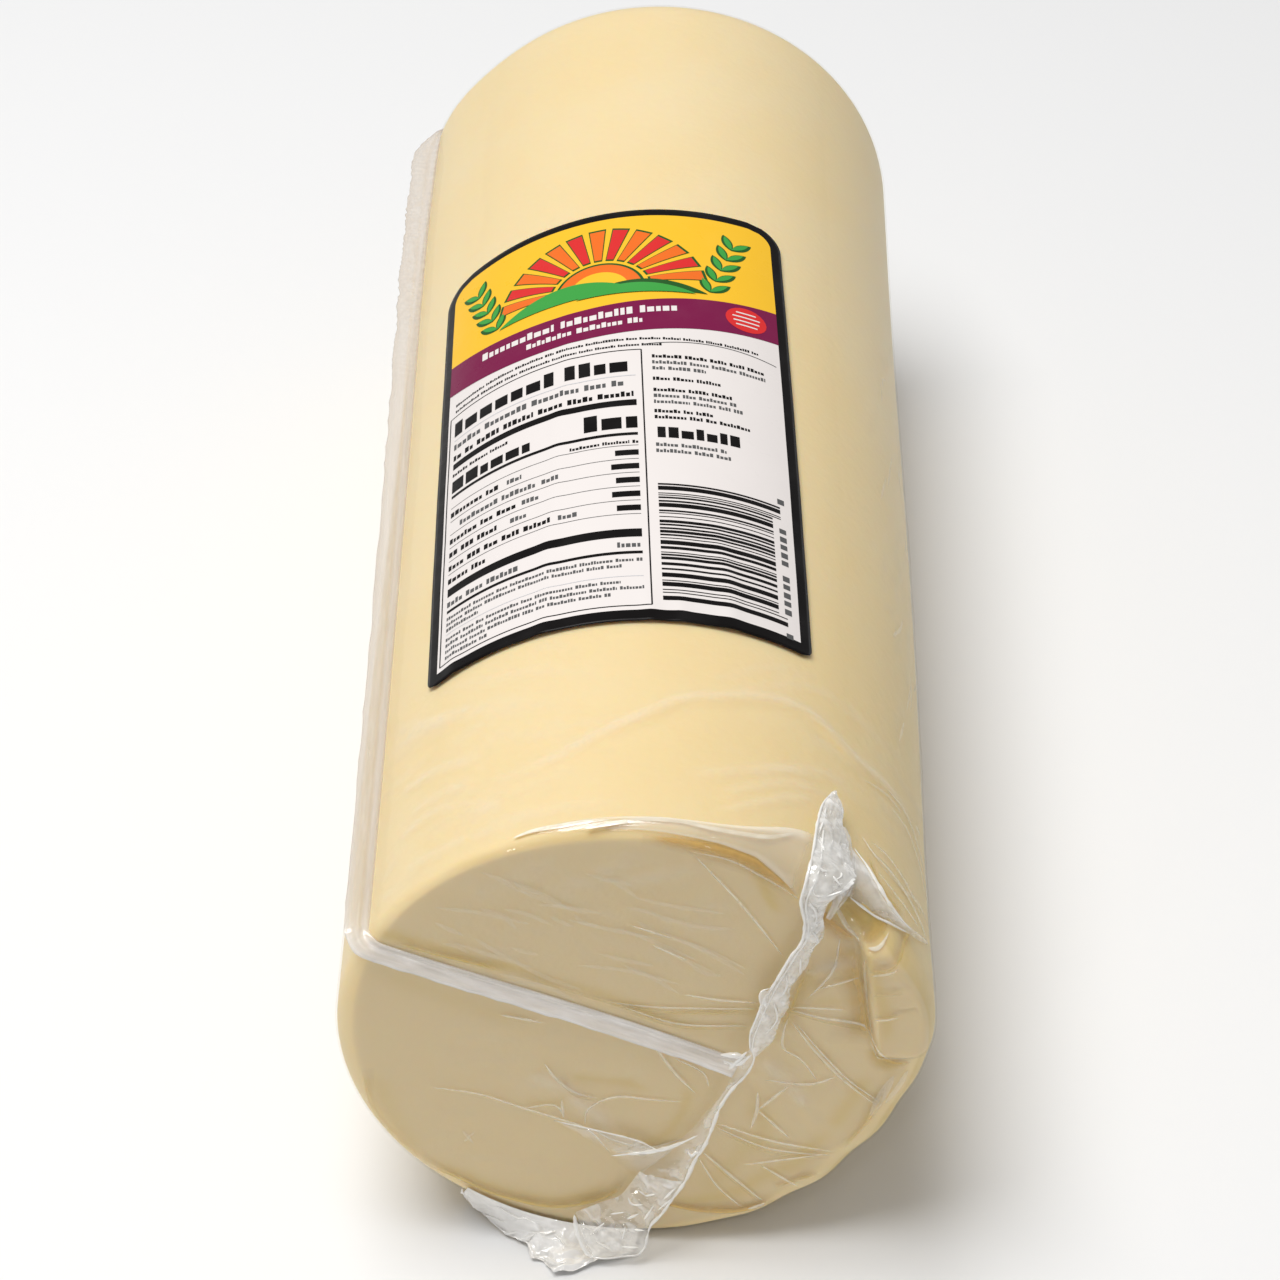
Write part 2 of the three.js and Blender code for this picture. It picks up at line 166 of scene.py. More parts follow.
def crumple(places: Array, size: float, seed: float) -> Array:
    """Sharp folds like those of crumpled film, from -1 to 1.

    Args:
        places: Points in millimetres.
        size: The size of a fold in millimetres.
        seed: Which of many such patterns to use.

    Returns:
        One height for each point.
    """
    shift = Vector((seed, 2.3 * seed, -1.7 * seed))
    heights = [noise.noise(Vector(place) / size + shift) for place in places]
    return 1.0 - 2.6 * np.abs(np.array(heights))


def creased(places: Array, size: float, seed: int) -> Array:
    """Flat facets between straight creases, like those of crushed film, from -1 to 1.

    Args:
        places: Points in millimetres.
        size: The size of a facet in millimetres.
        seed: Seeds the creases' directions.

    Returns:
        One height for each point.
    """
    rng = np.random.default_rng(seed)
    warped = places + 0.28 * size * np.sin(np.roll(places, 1, axis=1) * (1.7 / size) + seed)
    total = np.zeros(len(places))
    for _ in range(5):
        way = rng.normal(size=3)
        turns = warped @ (way / np.linalg.norm(way)) / (size * rng.uniform(0.9, 2.1)) + rng.uniform()
        total += np.abs(2 * (turns % 1.0) - 1)
    return (total - 2.5) / 1.5


# ---- The form of the log --------------------------------------------------------------------


@dataclass(frozen=True)
class LogForm:
    """The surface of the bagged log, in millimetres."""

    end_radius: float = 66.7
    half_length: float = 175.0
    barrel: float = 1.3
    axis_height: float = 65.0
    far_rim: float = 10.0
    rim_mean: float = 6.6
    rim_underside: float = 2.0
    rim_fuller: Path = ((35, 12, 7.5), (116, 30, 5), (-45, 32, -2.2), (77, 13, -3.2))
    dish: float = 1.6
    swells: tuple[tuple[float, ...], ...] = (
        (-68, 17, 150, 110, 2.4),
        (85, 35, 90, 95, -1.3),
        (74, 20, -175, 32, 1.5),
    )
    lip_x: float = 61.9
    lip_z: float = 18.5
    lip_half_width: float = 11.7
    lip_half_height: float = 20.5
    lip_height: float = 4.8
    lip_lean: float = -0.125
    lip_edge: float = 4.6
    lip_top_fade: float = 4.4
    lip_foot_fade: float = 3.2
    crease_at: float = 1.08
    crease_width: float = 1.5
    crease_depth: float = 0.25
    pleat_x: float = 47.0
    pleat_z: float = 43.0
    pleat_spread: float = 4.6
    pleat_depth: float = 1.5
    lumps_from: float = 92.0
    lumps_to: float = 172.0
    lumps_count: float = 4.5
    lumps_height: float = 1.1
    lumps_reach: float = 2.2

    def side_radius(self, angle: Array, y: Array) -> Array:
        """Radius of the side at an angle and a place along the log."""
        radius = self.end_radius + self.barrel * (1 - (y / self.half_length) ** 2)
        for at, spread, middle, length, height in self.swells:
            around = bell(turn_between(angle, math.radians(at)), math.radians(spread))
            radius = radius + height * bell(y - middle, length) * around
        return radius

    def near_rim(self, angle: Array) -> Array:
        """Radius of the near rim's round at an angle."""
        rim = self.rim_mean - self.rim_underside * np.cos(angle)
        for at, spread, extra in self.rim_fuller:
            rim = rim + extra * bell(turn_between(angle, math.radians(at)), math.radians(spread))
        return rim

    def near_relief(self, x: Array, z: Array) -> Array:
        """How far the near end stands out of its plane."""
        along = np.abs(z - self.lip_z) / self.lip_half_height
        across = -np.minimum(x - self.lip_x - self.lip_lean * (z - self.lip_z), 0) / self.lip_half_width
        ends = smooth((1 - along) * np.where(z > self.lip_z, self.lip_top_fade, self.lip_foot_fade))
        lip = self.lip_height * smooth((1 - across) * self.lip_edge) * ends
        crease = bell((across - self.crease_at) * self.lip_half_width, self.crease_width) * ends
        hollow = bell(np.hypot(x - self.pleat_x, z - self.pleat_z), self.pleat_spread)
        dish = self.dish * (1 - smooth(np.hypot(x, z) / self.end_radius))
        return lip - self.crease_depth * crease - self.pleat_depth * hollow - dish

    def rim_lumps(self, angle: Array) -> Array:
        """Lumps along the lower right of the near rim."""
        turn = np.degrees(np.mod(angle, 2 * np.pi))
        t = np.clip((turn - self.lumps_from) / (self.lumps_to - self.lumps_from), 0, 1)
        lumps = 0.5 + 0.5 * np.cos(2 * np.pi * self.lumps_count * t)
        return -self.lumps_height * np.sin(np.pi * t) * lumps

    def carry(self, blank: Array, blank_rim: float) -> Array:
        """Carries points of a plain turned blank to the log's surface.

        Args:
            blank: Points on a cylinder along Y of the log's radius and length with rounded rims.
            blank_rim: The radius of those rims.

        Returns:
            The points on the log, with the floor's flat pressed into them.
        """
        x, y, z = blank.T
        radius, angle = np.hypot(x, z), np.arctan2(x, z)
        near = y < 0
        rim = np.where(near, self.near_rim(angle), self.far_rim)
        flat = self.end_radius - blank_rim
        side_end = self.half_length - blank_rim
        on_side = np.abs(y) <= side_end
        inwards = (np.abs(y) - side_end) / blank_rim
        end_y = np.sign(y) * (self.half_length - rim + rim * inwards)
        new_y = np.where(on_side, y * (self.half_length - rim) / side_end, end_y)
        side = self.side_radius(angle, new_y)
        edge = side - rim
        beyond = np.maximum(0, radius - flat) / blank_rim
        end_r = np.where(radius < flat, edge * radius / flat, edge + rim * beyond)
        new_r = np.where(on_side, side, end_r)
        reach = self.lumps_reach * rim
        nearness = smooth((-new_y - self.half_length + reach) / reach) * smooth(new_r / self.end_radius)
        new_r = new_r + np.where(near, self.rim_lumps(angle) * nearness, 0)
        facing = smooth((-new_y - self.half_length + rim) / rim)
        relief = self.near_relief(new_r * np.sin(angle), new_r * np.cos(angle)) * facing
        new_y = new_y - np.where(near, relief, 0)
        height = np.maximum(0, self.axis_height + new_r * np.cos(angle))
        return stack(new_r * np.sin(angle), new_y, height)

    def on_side(self, angle: Array, y: Array, off: Array = 0.0) -> Array:
        """Points on the side at angles in radians and places along it, off the surface."""
        r = self.side_radius(angle, y) + off
        return stack(r * np.sin(angle), y, self.axis_height + r * np.cos(angle))

    def on_near_end(self, x: Array, z: Array, off: Array = 0.0) -> Array:
        """Points on the near end and its rim, in front of the surface by a distance."""
        angle = np.arctan2(x, z)
        rim = self.near_rim(angle)
        edge = self.side_radius(angle, -self.half_length) - rim
        into = np.clip(np.hypot(x, z) - edge, 0, rim * 0.999)
        fall = rim - np.sqrt(rim**2 - into**2)
        relief = self.near_relief(x, z) * smooth(1 - fall / rim)
        return stack(x, -self.half_length + fall - relief - off, self.axis_height + z)

    def on_far_end(self, x: Array, z: Array, off: Array = 0.0) -> Array:
        """Points on the far end and its rim, behind the surface by a distance."""
        into = np.clip(np.hypot(x, z) - self.end_radius + self.far_rim, 0, self.far_rim * 0.999)
        fall = self.far_rim - np.sqrt(self.far_rim**2 - into**2)
        return stack(x, self.half_length - fall + off, self.axis_height + z)


FORM = LogForm()


class Place(Enum):
    """Where on the log a line of the film runs, and so what its two coordinates mean."""

    NEAR_END = "x and z above the axis"
    SIDE = "degrees round the log and y along it"
    FAR_END = "x and z above the axis, on the far end"

    def surface(self, points: Array, off: Array) -> Array:
        """Points of the log's surface, off it by a distance."""
        if self is Place.SIDE:
            return FORM.on_side(np.radians(points[:, 0]), points[:, 1], off)
        carry = FORM.on_near_end if self is Place.NEAR_END else FORM.on_far_end
        return carry(points[:, 0], points[:, 1], off)

    def flat(self, points: Array) -> Array:
        """The same points in millimetres on the unrolled surface."""
        if self is Place.SIDE:
            return points * np.array([math.radians(1) * FORM.end_radius, 1.0])
        return points


# ---- Meshes ---------------------------------------------------------------------------------


def add_sheet(bm: BMesh, along: int, across: int, carry: Carry, ink: int = 0) -> None:
    """Adds a grid whose corners are carried to their places.

    Args:
        bm: The mesh that receives the sheet.
        along: Cells along the sheet.
        across: Cells across it.
        carry: Gives the points in millimetres for shares along and across, each from 0 to 1.
        ink: The material slot of its faces.
    """
    made = bmesh.ops.create_grid(bm, x_segments=along, y_segments=across, size=0.5)["verts"]
    shares = np.array([v.co[:2] for v in made]) + 0.5
    for vert, point in zip(made, carry(shares[:, 0], shares[:, 1]) * MM):
        vert.co = point
    if ink:
        for face in {face for vert in made for face in vert.link_faces}:
            face.material_index = ink


def grid_shares(along: int, across: int) -> tuple[Array, Array]:
    """The shares along and across a sheet of each of its corners, in their order."""
    s, t = np.linspace(0, 1, along + 1), np.linspace(0, 1, across + 1)
    return np.tile(s, across + 1), np.repeat(t, along + 1)


def turned_blank(profile: list[Place2D], steps: int) -> BMesh:
    """A closed solid of revolution about the Y axis, in millimetres.

    Args:
        profile: Radius and y of each point, from one end of the axis to the other.
        steps: Facets round it.

    Returns:
        The new mesh.
    """
    bm = bmesh.new()
    verts = [bm.verts.new((radius, y, 0)) for radius, y in profile]
    edges = [bm.edges.new(pair) for pair in zip(verts, verts[1:])]
    bmesh.ops.spin(
        bm, geom=verts + edges, cent=(0, 0, 0), axis=(0, 1, 0), angle=2 * math.pi, steps=steps, use_merge=True
    )
    bmesh.ops.remove_doubles(bm, verts=bm.verts, dist=1e-4)
    bmesh.ops.recalc_face_normals(bm, faces=bm.faces)
    return bm


def log_profile(face: int, rim: int, side: list[float], far_face: int, radius: float) -> list[Place2D]:
    """The blank's outline, from the middle of the near end to that of the far end.

    Args:
        face: Rings on the near end.
        rim: Rings on each rim.
        side: The y of each ring on the side, from near to far.
        far_face: Rings on the far end.
        radius: The radius of the rims.

    Returns:
        Radius and y of each point.
    """
    flat, end = FORM.end_radius - radius, FORM.half_length
    points = [(flat * i / face, -end) for i in range(face)]
    for centre, start in ((-end + radius, -90.0), (end - radius, 0.0)):
        for i in range(rim + 1):
            turn = math.radians(start + 90 * i / rim)
            points.append((flat + radius * math.cos(turn), centre + radius * math.sin(turn)))
        if start:
            points += [(FORM.end_radius, y) for y in side]
    return points + [(flat * i / far_face, end) for i in range(far_face - 1, -1, -1)]


def coordinates(mesh: Mesh) -> Array:
    """The mesh's vertices, one a row."""
    flat = np.zeros(len(mesh.vertices) * 3)
    mesh.vertices.foreach_get("co", flat)
    return flat.reshape(-1, 3)


def piece_of(name: str, bm: BMesh, finishes: list[Material], node: str) -> Object:
    """Makes a finished piece of a mesh, with its place in the frame.

    Args:
        name: The piece's name.
        bm: Its mesh, in metres, which is freed.
        finishes: Its materials.
        node: The CAD node that it stands for.

    Returns:
        The piece.
    """
    mesh = bpy.data.meshes.new(name)
    bm.to_mesh(mesh)
    bm.free()
    mesh.shade_smooth()
    for finish in finishes:
        mesh.materials.append(finish)
    piece = bpy.data.objects.new(name, mesh)
    bpy.context.scene.collection.objects.link(piece)
    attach(piece, BODY)
    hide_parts(node)
    LOG.info("%s: %d faces", name, len(mesh.polygons))
    return piece


def thicken(piece: Object, thickness: float, offset: float = 0.0) -> None:
    """Gives a sheet its wall, in millimetres, to both sides or to one."""
    wall = piece.modifiers.new("wall", "SOLIDIFY")
    wall.thickness = thickness * MM
    wall.offset = offset


def write_attribute(mesh: Mesh, name: str, values: Array) -> None:
    """Stores one number for each vertex under a name that a finish reads."""
    mesh.attributes.new(name, "FLOAT", "POINT").data.foreach_set("value", values.astype(np.float32))


# ---- Finishes -------------------------------------------------------------------------------


class Nodes:
    """A material's node tree, with short ways to add and join nodes."""

    def __init__(self, name: str) -> None:
        """Starts an empty material of that name."""
        self.material = bpy.data.materials.new(name)
        self.material.use_nodes = True
        self.tree = self.material.node_tree
        self.tree.nodes.clear()
        self.output = self.add("ShaderNodeOutputMaterial")
        self.place = self.add("ShaderNodeTexCoord").outputs["Object"]

    def add(self, kind: str, inputs: dict | None = None, **settings: object) -> bpy.types.Node:
        """Adds a node.

        Args:
            kind: The node's type.
            inputs: Values for its sockets, or the sockets that feed them.
            settings: Values for its own properties.

        Returns:
            The node.
        """
        node = self.tree.nodes.new(kind)
        for key, value in settings.items():
            setattr(node, key, value)
        for key, value in (inputs or {}).items():
            if isinstance(value, Socket):
                self.tree.links.new(value, node.inputs[key])
            else:
                node.inputs[key].default_value = value
        return node

    def math(self, operation: str, a: object, b: object = 0.0, clamp: bool = False) -> Socket:
        """The result of a sum of two numbers or sockets."""
        return self.add("ShaderNodeMath", {0: a, 1: b}, operation=operation, use_clamp=clamp).outputs[0]

    def attribute(self, name: str) -> Socket:
        """The number that a mesh stores under a name."""
        return self.add("ShaderNodeAttribute", attribute_name=name).outputs["Fac"]

    def noise(self, scale: float, detail: float = 3.0, stretch: Point = (1, 1, 1)) -> Socket:
        """Cloudy noise on the object's own coordinates, from 0 to 1."""
        where = self.add("ShaderNodeMapping", {"Vector": self.place, "Scale": stretch}).outputs[0]
        inputs = {"Vector": where, "Scale": scale, "Detail": detail}
        return self.add("ShaderNodeTexNoise", inputs).outputs["Fac"]

    def tint(self, factor: object, low: tuple, high: tuple) -> Socket:
        """A colour between two, by a factor."""
        node = self.add("ShaderNodeMix", {0: factor}, data_type="RGBA")
        node.inputs[6].default_value = (*low, 1) if isinstance(low, tuple) else (0, 0, 0, 1)
        node.inputs[7].default_value = (*high, 1)
        if not isinstance(low, tuple):
            self.tree.links.new(low, node.inputs[6])
        return node.outputs[2]

    def ramp(self, value: object, low: float, high: float) -> Socket:
        """A value eased from 0 at low to 1 at high."""
        inputs = {"Value": value, "From Min": low, "From Max": high}
        return self.add("ShaderNodeMapRange", inputs, interpolation_type="SMOOTHSTEP").outputs[0]

    def bump(self, height: object, depth: float, strength: float = 1.0) -> Socket:
        """A normal roughened by a height, whose full range is a depth in millimetres."""
        inputs = {"Height": height, "Distance": depth * MM, "Strength": strength}
        return self.add("ShaderNodeBump", inputs).outputs[0]

    def along_piece(self) -> Socket:
        """A piece's own coordinates, along and across it, drawn out along it."""
        run = self.math("MULTIPLY", self.attribute("run"), 0.12)
        return self.add("ShaderNodeCombineXYZ", {0: run, 1: self.attribute("side")}).outputs[0]

    def shine(self, normal: Socket, straight: float, grazing: float) -> Socket:
        """How much a film reflects seen straight on and at a glance, alike from both of its sides."""
        facing = self.add("ShaderNodeLayerWeight", {"Blend": 0.5, "Normal": normal}).outputs["Facing"]
        glance = self.math("MULTIPLY", self.math("POWER", facing, 5.0), grazing)
        return self.math("ADD", glance, straight, clamp=True)

    def blend(self, factor: object, first: object, second: object) -> Socket:
        """Two shaders mixed by a factor."""
        node = self.add("ShaderNodeMixShader", {0: factor, 1: first, 2: second})
        return node.outputs[0]

    def finish(self, surface: Socket) -> Material:
        """Joins the surface to the output and returns the material."""
        self.tree.links.new(surface, self.output.inputs["Surface"])
        return self.material


@dataclass(frozen=True)
class CheeseFinish:
    """Smooth pale cheese, a little translucent, deeper in colour where the film leaves it damp, with painted
    shade in its creases and hollows, on its shaded right side and as a darker tan on its near end.
    """

    pale: Colour = (0.87, 0.715, 0.44)
    deep: Colour = (0.87, 0.695, 0.395)
    ochre: Colour = (0.68, 0.51, 0.19)
    scatter: Colour = (1.0, 0.72, 0.42)
    scatter_depth: float = 2.4
    # the near end's darker tan is painted shade: the end faces away from the overhead key light
    end: Colour = (0.765, 0.625, 0.40)
    roughness: float = 0.5

    def material(self) -> Material:
        """The material."""
        n = Nodes("cheese")
        clouds = n.ramp(n.noise(22, 4), 0.3, 0.72)
        base = n.tint(clouds, self.pale, self.deep)
        # painted shade: the near end, and the pad over the lip, take the darker end colour
        base = n.tint(n.attribute("near_end_shade"), base, self.end)
        mottle = n.math("MULTIPLY", n.noise(160, 3), 0.35)
        # damp showing through the film, and painted shade in creases, hollows and on the shaded right side,
        # deepen the colour to ochre
        damp_and_shade = n.math("MULTIPLY", n.attribute("damp_and_shade"), n.math("ADD", 0.8, mottle), clamp=True)
        colour = n.tint(damp_and_shade, base, self.ochre)
        grain = n.math("ADD", n.noise(420, 4), n.math("MULTIPLY", n.noise(60, 3), 2.0))
        body = n.add(
            "ShaderNodeBsdfPrincipled",
            {
                "Base Color": colour,
                "Roughness": self.roughness,
                "Specular IOR Level": 0.25,
                "Subsurface Weight": 0.7,
                "Subsurface Radius": self.scatter,
                "Subsurface Scale": self.scatter_depth * MM,
                "Normal": n.bump(grain, 0.12),
            },
        )
        return n.finish(body.outputs[0])


@dataclass(frozen=True)
class FilmFinish:
    """Clear shrink film: gloss over what it covers, milky where a piece stores milk, which on some pieces is
    painted highlight along crests, folds and edges.
    """

    name: str = "film"
    milk: Colour = (0.93, 0.90, 0.84)
    body: float = 0.0
    hazed: float = 0.75
    patchy: float = 0.4
    streaky: bool = False
    mirror: float = 0.03
    grazing: float = 0.13
    roughness: float = 0.07
    ripple: float = 0.2
    crinkle: float = 0.0
    glow: float = 0.0
    fading: bool = False
    # a darker colour used where a piece stores little 'pale': painted shade on parts that stand in shade
    shade_colour: Colour | None = None

    def material(self) -> Material:
        """The material."""
        n = Nodes(self.name)
        where = n.along_piece() if self.streaky else n.place
        ripple = n.math("ADD", n.noise(75, 2, (1, 0.45, 1)), n.math("MULTIPLY", n.noise(310, 3), 0.25))
        normal = n.bump(ripple, self.ripple)
        if self.crinkle:
            inputs = {"Vector": where, "Scale": 420, "Detail": 3.0}
            folds = n.add("ShaderNodeTexNoise", inputs, noise_type="RIDGED_MULTIFRACTAL")
            height = {"Height": folds.outputs["Fac"], "Distance": self.crinkle * MM, "Normal": normal}
            normal = n.add("ShaderNodeBump", height).outputs[0]
        clouds = n.add("ShaderNodeTexNoise", {"Vector": where, "Scale": 300, "Detail": 4.0}).outputs["Fac"]
        patches = n.math("ADD", n.math("MULTIPLY", n.ramp(clouds, 0.3, 0.65), self.patchy), 1 - self.patchy)
        milk_and_highlight = n.math("MULTIPLY", n.attribute("milk_and_highlight"), patches)
        cover = n.math("ADD", n.math("MULTIPLY", milk_and_highlight, self.hazed), self.body, clamp=True)
        clear = n.add("ShaderNodeBsdfTransparent", {"Color": (0.985, 0.98, 0.965, 1)}).outputs[0]
        milk = n.tint(n.attribute("pale"), self.shade_colour, self.milk) if self.shade_colour else (*self.milk, 1)
        matte = n.add("ShaderNodeBsdfDiffuse", {"Color": milk}).outputs[0]
        if self.glow:
            through = n.add("ShaderNodeBsdfTranslucent", {"Color": milk}).outputs[0]
            matte = n.blend(self.glow, matte, through)
        inner = n.blend(cover, clear, matte)
        gloss = n.add("ShaderNodeBsdfGlossy", {"Roughness": self.roughness, "Normal": normal}).outputs[0]
        shine = n.shine(normal, self.mirror, self.grazing)
        if self.fading:
            shine = n.math("MULTIPLY", shine, n.ramp(n.attribute("milk_and_highlight"), 0.0, 0.2))
        return n.finish(n.blend(shine, inner, gloss))


@dataclass(frozen=True)
class InkFinish:
    """Glossy print or label stock of one colour."""

    name: str
    colour: Colour
    worn: float = 0.006
    shine: float = 0.10

    def material(self) -> Material:
        """The material."""
        n = Nodes(self.name)
        scuffed = tuple(min(1.0, c + self.worn) for c in self.colour)
        colour = n.tint(n.ramp(n.noise(90, 4), 0.45, 0.75), self.colour, scuffed)
        sheen = n.math("ADD", 0.2, n.math("MULTIPLY", n.noise(240, 3), 0.2))
        body = n.add(
            "ShaderNodeBsdfPrincipled",
            {
                "Base Color": colour,
                "Roughness": sheen,
                "Specular IOR Level": self.shine,
                "Normal": n.bump(n.noise(130, 3), 0.08),
            },
        )
        return n.finish(body.outputs[0])


# ---- Lines of the film ----------------------------------------------------------------------


@dataclass(frozen=True)
class Pleat:
    """A narrow fold of the film, lying on the log as a slim tapered ridge."""

    points: Line
    width: float = 0.7
    height: float = 0.35
    place: Place = Place.NEAR_END

    def add_to(self, bm: BMesh, around: int = 4, step: float = 1.1) -> None:
        """Adds the ridge's back to a mesh."""
        ends = self.place.flat(np.array(self.points, float))
        length = np.linalg.norm(np.diff(ends, axis=0), axis=1).sum()
        to_flat = self.place.flat(np.ones((1, 2)))[0]

        def carry(s: Array, t: Array) -> Array:
            """A point of the ridge's back."""
            here = spline(self.points, s) * to_flat
            run = unit(heading(self.points, s) * to_flat)
            fullness = np.sqrt(np.clip(np.sin(np.pi * np.clip(s, 0, 1)), 0, 1))
            across = -0.5 * self.width * fullness * np.cos(np.pi * t)
            lift = 0.03 + self.height * fullness * np.sin(np.pi * t)
            beside = here + np.stack([-run[:, 1], run[:, 0]], axis=1) * across[:, None]
            return self.place.surface(beside / to_flat, lift)

        add_sheet(bm, max(6, round(length / step)), around, carry)


@dataclass(frozen=True)
class DampAndShadeStrip:
    """A flat strip that paints damp and shade on the cheese through the film, crisp on its line and soft to
    the left of it.
    """

    points: Line
    width: float
    strength: float
    place: Place = Place.NEAR_END
    # warm: how much of the darker shade colour the strip takes, most in the deepest hollows
    warm: float = 0.0
    profile: tuple[float, ...] = (0.0, 1.0, 0.7, 0.42, 0.22, 0.08, 0.0)

    def add_to(self, bm: BMesh, step: float = 1.2) -> Array:
        """Adds the strip to a mesh and returns how strong it is at each of its new corners."""
        ends = self.place.flat(np.array(self.points, float))
        along = max(8, round(np.linalg.norm(np.diff(ends, axis=0), axis=1).sum() / step))
        across = len(self.profile) - 1
        to_flat = self.place.flat(np.ones((1, 2)))[0]

        def carry(s: Array, t: Array) -> Array:
            """A point of the strip."""
            here = spline(self.points, s) * to_flat
            run = unit(heading(self.points, s) * to_flat)
            swell = 1 + 0.3 * np.sin(7 * s + self.width)
            beside = here + np.stack([-run[:, 1], run[:, 0]], axis=1) * (t * self.width * swell)[:, None]
            return self.place.surface(beside / to_flat, 0.09)

        add_sheet(bm, along, across, carry)
        s, t = grid_shares(along, across)
        ends = smooth(5 * np.minimum(s, 1 - s))
        return self.strength * ends * np.interp(t, np.linspace(0, 1, across + 1), self.profile)


@dataclass(frozen=True)
class Stroke:
    """A soft line on the log along which something changes, such as the cheese's colour."""

    points: Line
    width: float
    strength: float
    place: Place = Place.NEAR_END

    def weigh(self, u: Array, v: Array) -> Array:
        """How strongly the line is felt at unrolled places, fading to its ends."""
        line = self.place.flat(spline(self.points, np.linspace(0, 1, 4 * len(self.points))))
        gap, share = distance_to_line(u, v, line)
        return self.strength * bell(gap, self.width) * smooth(5 * np.minimum(share, 1 - share) + 0.25)


def strokes_on(blank: Array, strokes: tuple[Stroke, ...], rim: float) -> Array:
    """The sum of strokes at points of a blank.

    Args:
        blank: Points of the blank, in millimetres.
        strokes: The strokes.
        rim: The radius of the blank's rims.

    Returns:
        One value for each point.
    """
    x, y, z = blank.T
    radius, angle = np.hypot(x, z), np.arctan2(x, z)
    total = np.zeros(len(blank))
    reach = {
        Place.NEAR_END: (y < -FORM.half_length + rim * 0.9, x, z),
        Place.FAR_END: (y > FORM.half_length - rim * 0.9, x, z),
        Place.SIDE: (radius > FORM.end_radius - rim * 0.5, angle * FORM.end_radius, y),
    }
    for stroke in strokes:
        chosen, u, v = reach[stroke.place]
        total[chosen] += stroke.weigh(u[chosen], v[chosen])
    return total


def film_piece(name: str, bm: BMesh, finish: FilmFinish, milk_and_highlight: Array | float = 1.0) -> Object:
    """Makes a piece of the bag's film of a mesh.

    Args:
        name: The piece's name.
        bm: Its mesh, in metres, which is freed.
        finish: Its finish.
        milk_and_highlight: How milky it is at its corners; on some pieces this paints highlights.

    Returns:
        The piece.
    """
    piece = piece_of(name, bm, [finish.material()], CHEESE_NODE)
    write_attribute(piece.data, "milk_and_highlight", milk_and_highlight * np.ones(len(piece.data.vertices)))
    return piece


def scattered(
    count: int, seed: int, box: tuple[float, float, float, float], turn: float, length: float, place: Place
) -> list[Line]:
    """Short straight lines strewn over part of the log, much alike in direction.

    Args:
        count: How many.
        seed: Seeds their draw.
        box: The lowest and highest first coordinate, then the second's.
        turn: Their mean direction in degrees from the first coordinate.
        length: Their mean length in millimetres.
        place: What the coordinates mean.

    Returns:
        The two ends of each line.
    """
    rng = np.random.default_rng(seed)
    per_mm = place.flat(np.ones((1, 2)))[0]
    lines = []
    for _ in range(count):
        middle = np.array([rng.uniform(*box[:2]), rng.uniform(*box[2:])])
        way = math.radians(turn + rng.normal(0, 9))
        reach = 0.5 * length * rng.uniform(0.4, 1.5) * np.array([math.cos(way), math.sin(way)]) / per_mm
        bend = rng.normal(0, 0.06) * length * np.array([-math.sin(way), math.cos(way)]) / per_mm
        lines.append(tuple(tuple(point) for point in (middle - reach, middle + bend, middle + reach)))
    return lines


# ---- The cheese -----------------------------------------------------------------------------

WAVES = (
    # soft welts of the film and the cheese under it, in front of the label
    Stroke(
        (
            (-25.5, -149.7), (-14.2, -147.1), (-7.6, -142.5), (2.3, -135.2), (9, -129.8), (15.8, -127.8),
            (23.8, -126.2), (33.8, -127.6), (44.8, -129.8), (55.5, -126.7), (66.9, -125.2),
        ),
        1.6, 0.5, Place.SIDE,
    ),
    Stroke(
        ((-7, -146), (3, -139), (10, -133.4), (24, -129.6), (34, -131.2), (45, -133.4)),
        2.2, -0.25, Place.SIDE,
    ),
    Stroke(((11, -153.9), (25, -149.5), (35.8, -149.5)), 1.6, 0.26, Place.SIDE),
    Stroke(((16.2, -157.9), (29.9, -153.6), (36.8, -153.1)), 1.4, 0.26, Place.SIDE),
    Stroke(((16.2, -163.5), (29.9, -158.3), (36.8, -156.3)), 1.4, 0.26, Place.SIDE),
    Stroke(((-51.7, -135.1), (-41.2, -136.4), (-30.2, -140.8)), 1.5, 0.3, Place.SIDE),
    Stroke(((-47.8, -144.7), (-38.1, -145.3), (-32.8, -146.3)), 1.4, 0.24, Place.SIDE),
    Stroke(((-50.9, -150.1), (-42.4, -149.3), (-32.4, -153.8), (-25.3, -159.3)), 1.5, 0.3, Place.SIDE),
    Stroke(((-47.8, -161.8), (-39.4, -163), (-31.9, -163.9)), 1.4, 0.24, Place.SIDE),
    Stroke(((-55, -118), (-40, -121), (-20, -128)), 2.4, 0.2, Place.SIDE),
)
PAD_WRINKLES = (
    # creases across the pad at the right of the near end
    Stroke(((50.4, 30.6), (54.5, 31.2), (58, 32.2), (61.5, 34)), 1.1, -0.6),
    Stroke(((52, 23.4), (55.5, 23.6), (59, 24.2)), 1.3, -0.45),
    Stroke(((52.5, 16.6), (55.5, 16.8), (58.5, 17.8)), 1.1, -0.6),
    Stroke(((53.5, 10), (56.5, 10.2), (59, 11)), 1.2, -0.25),
)
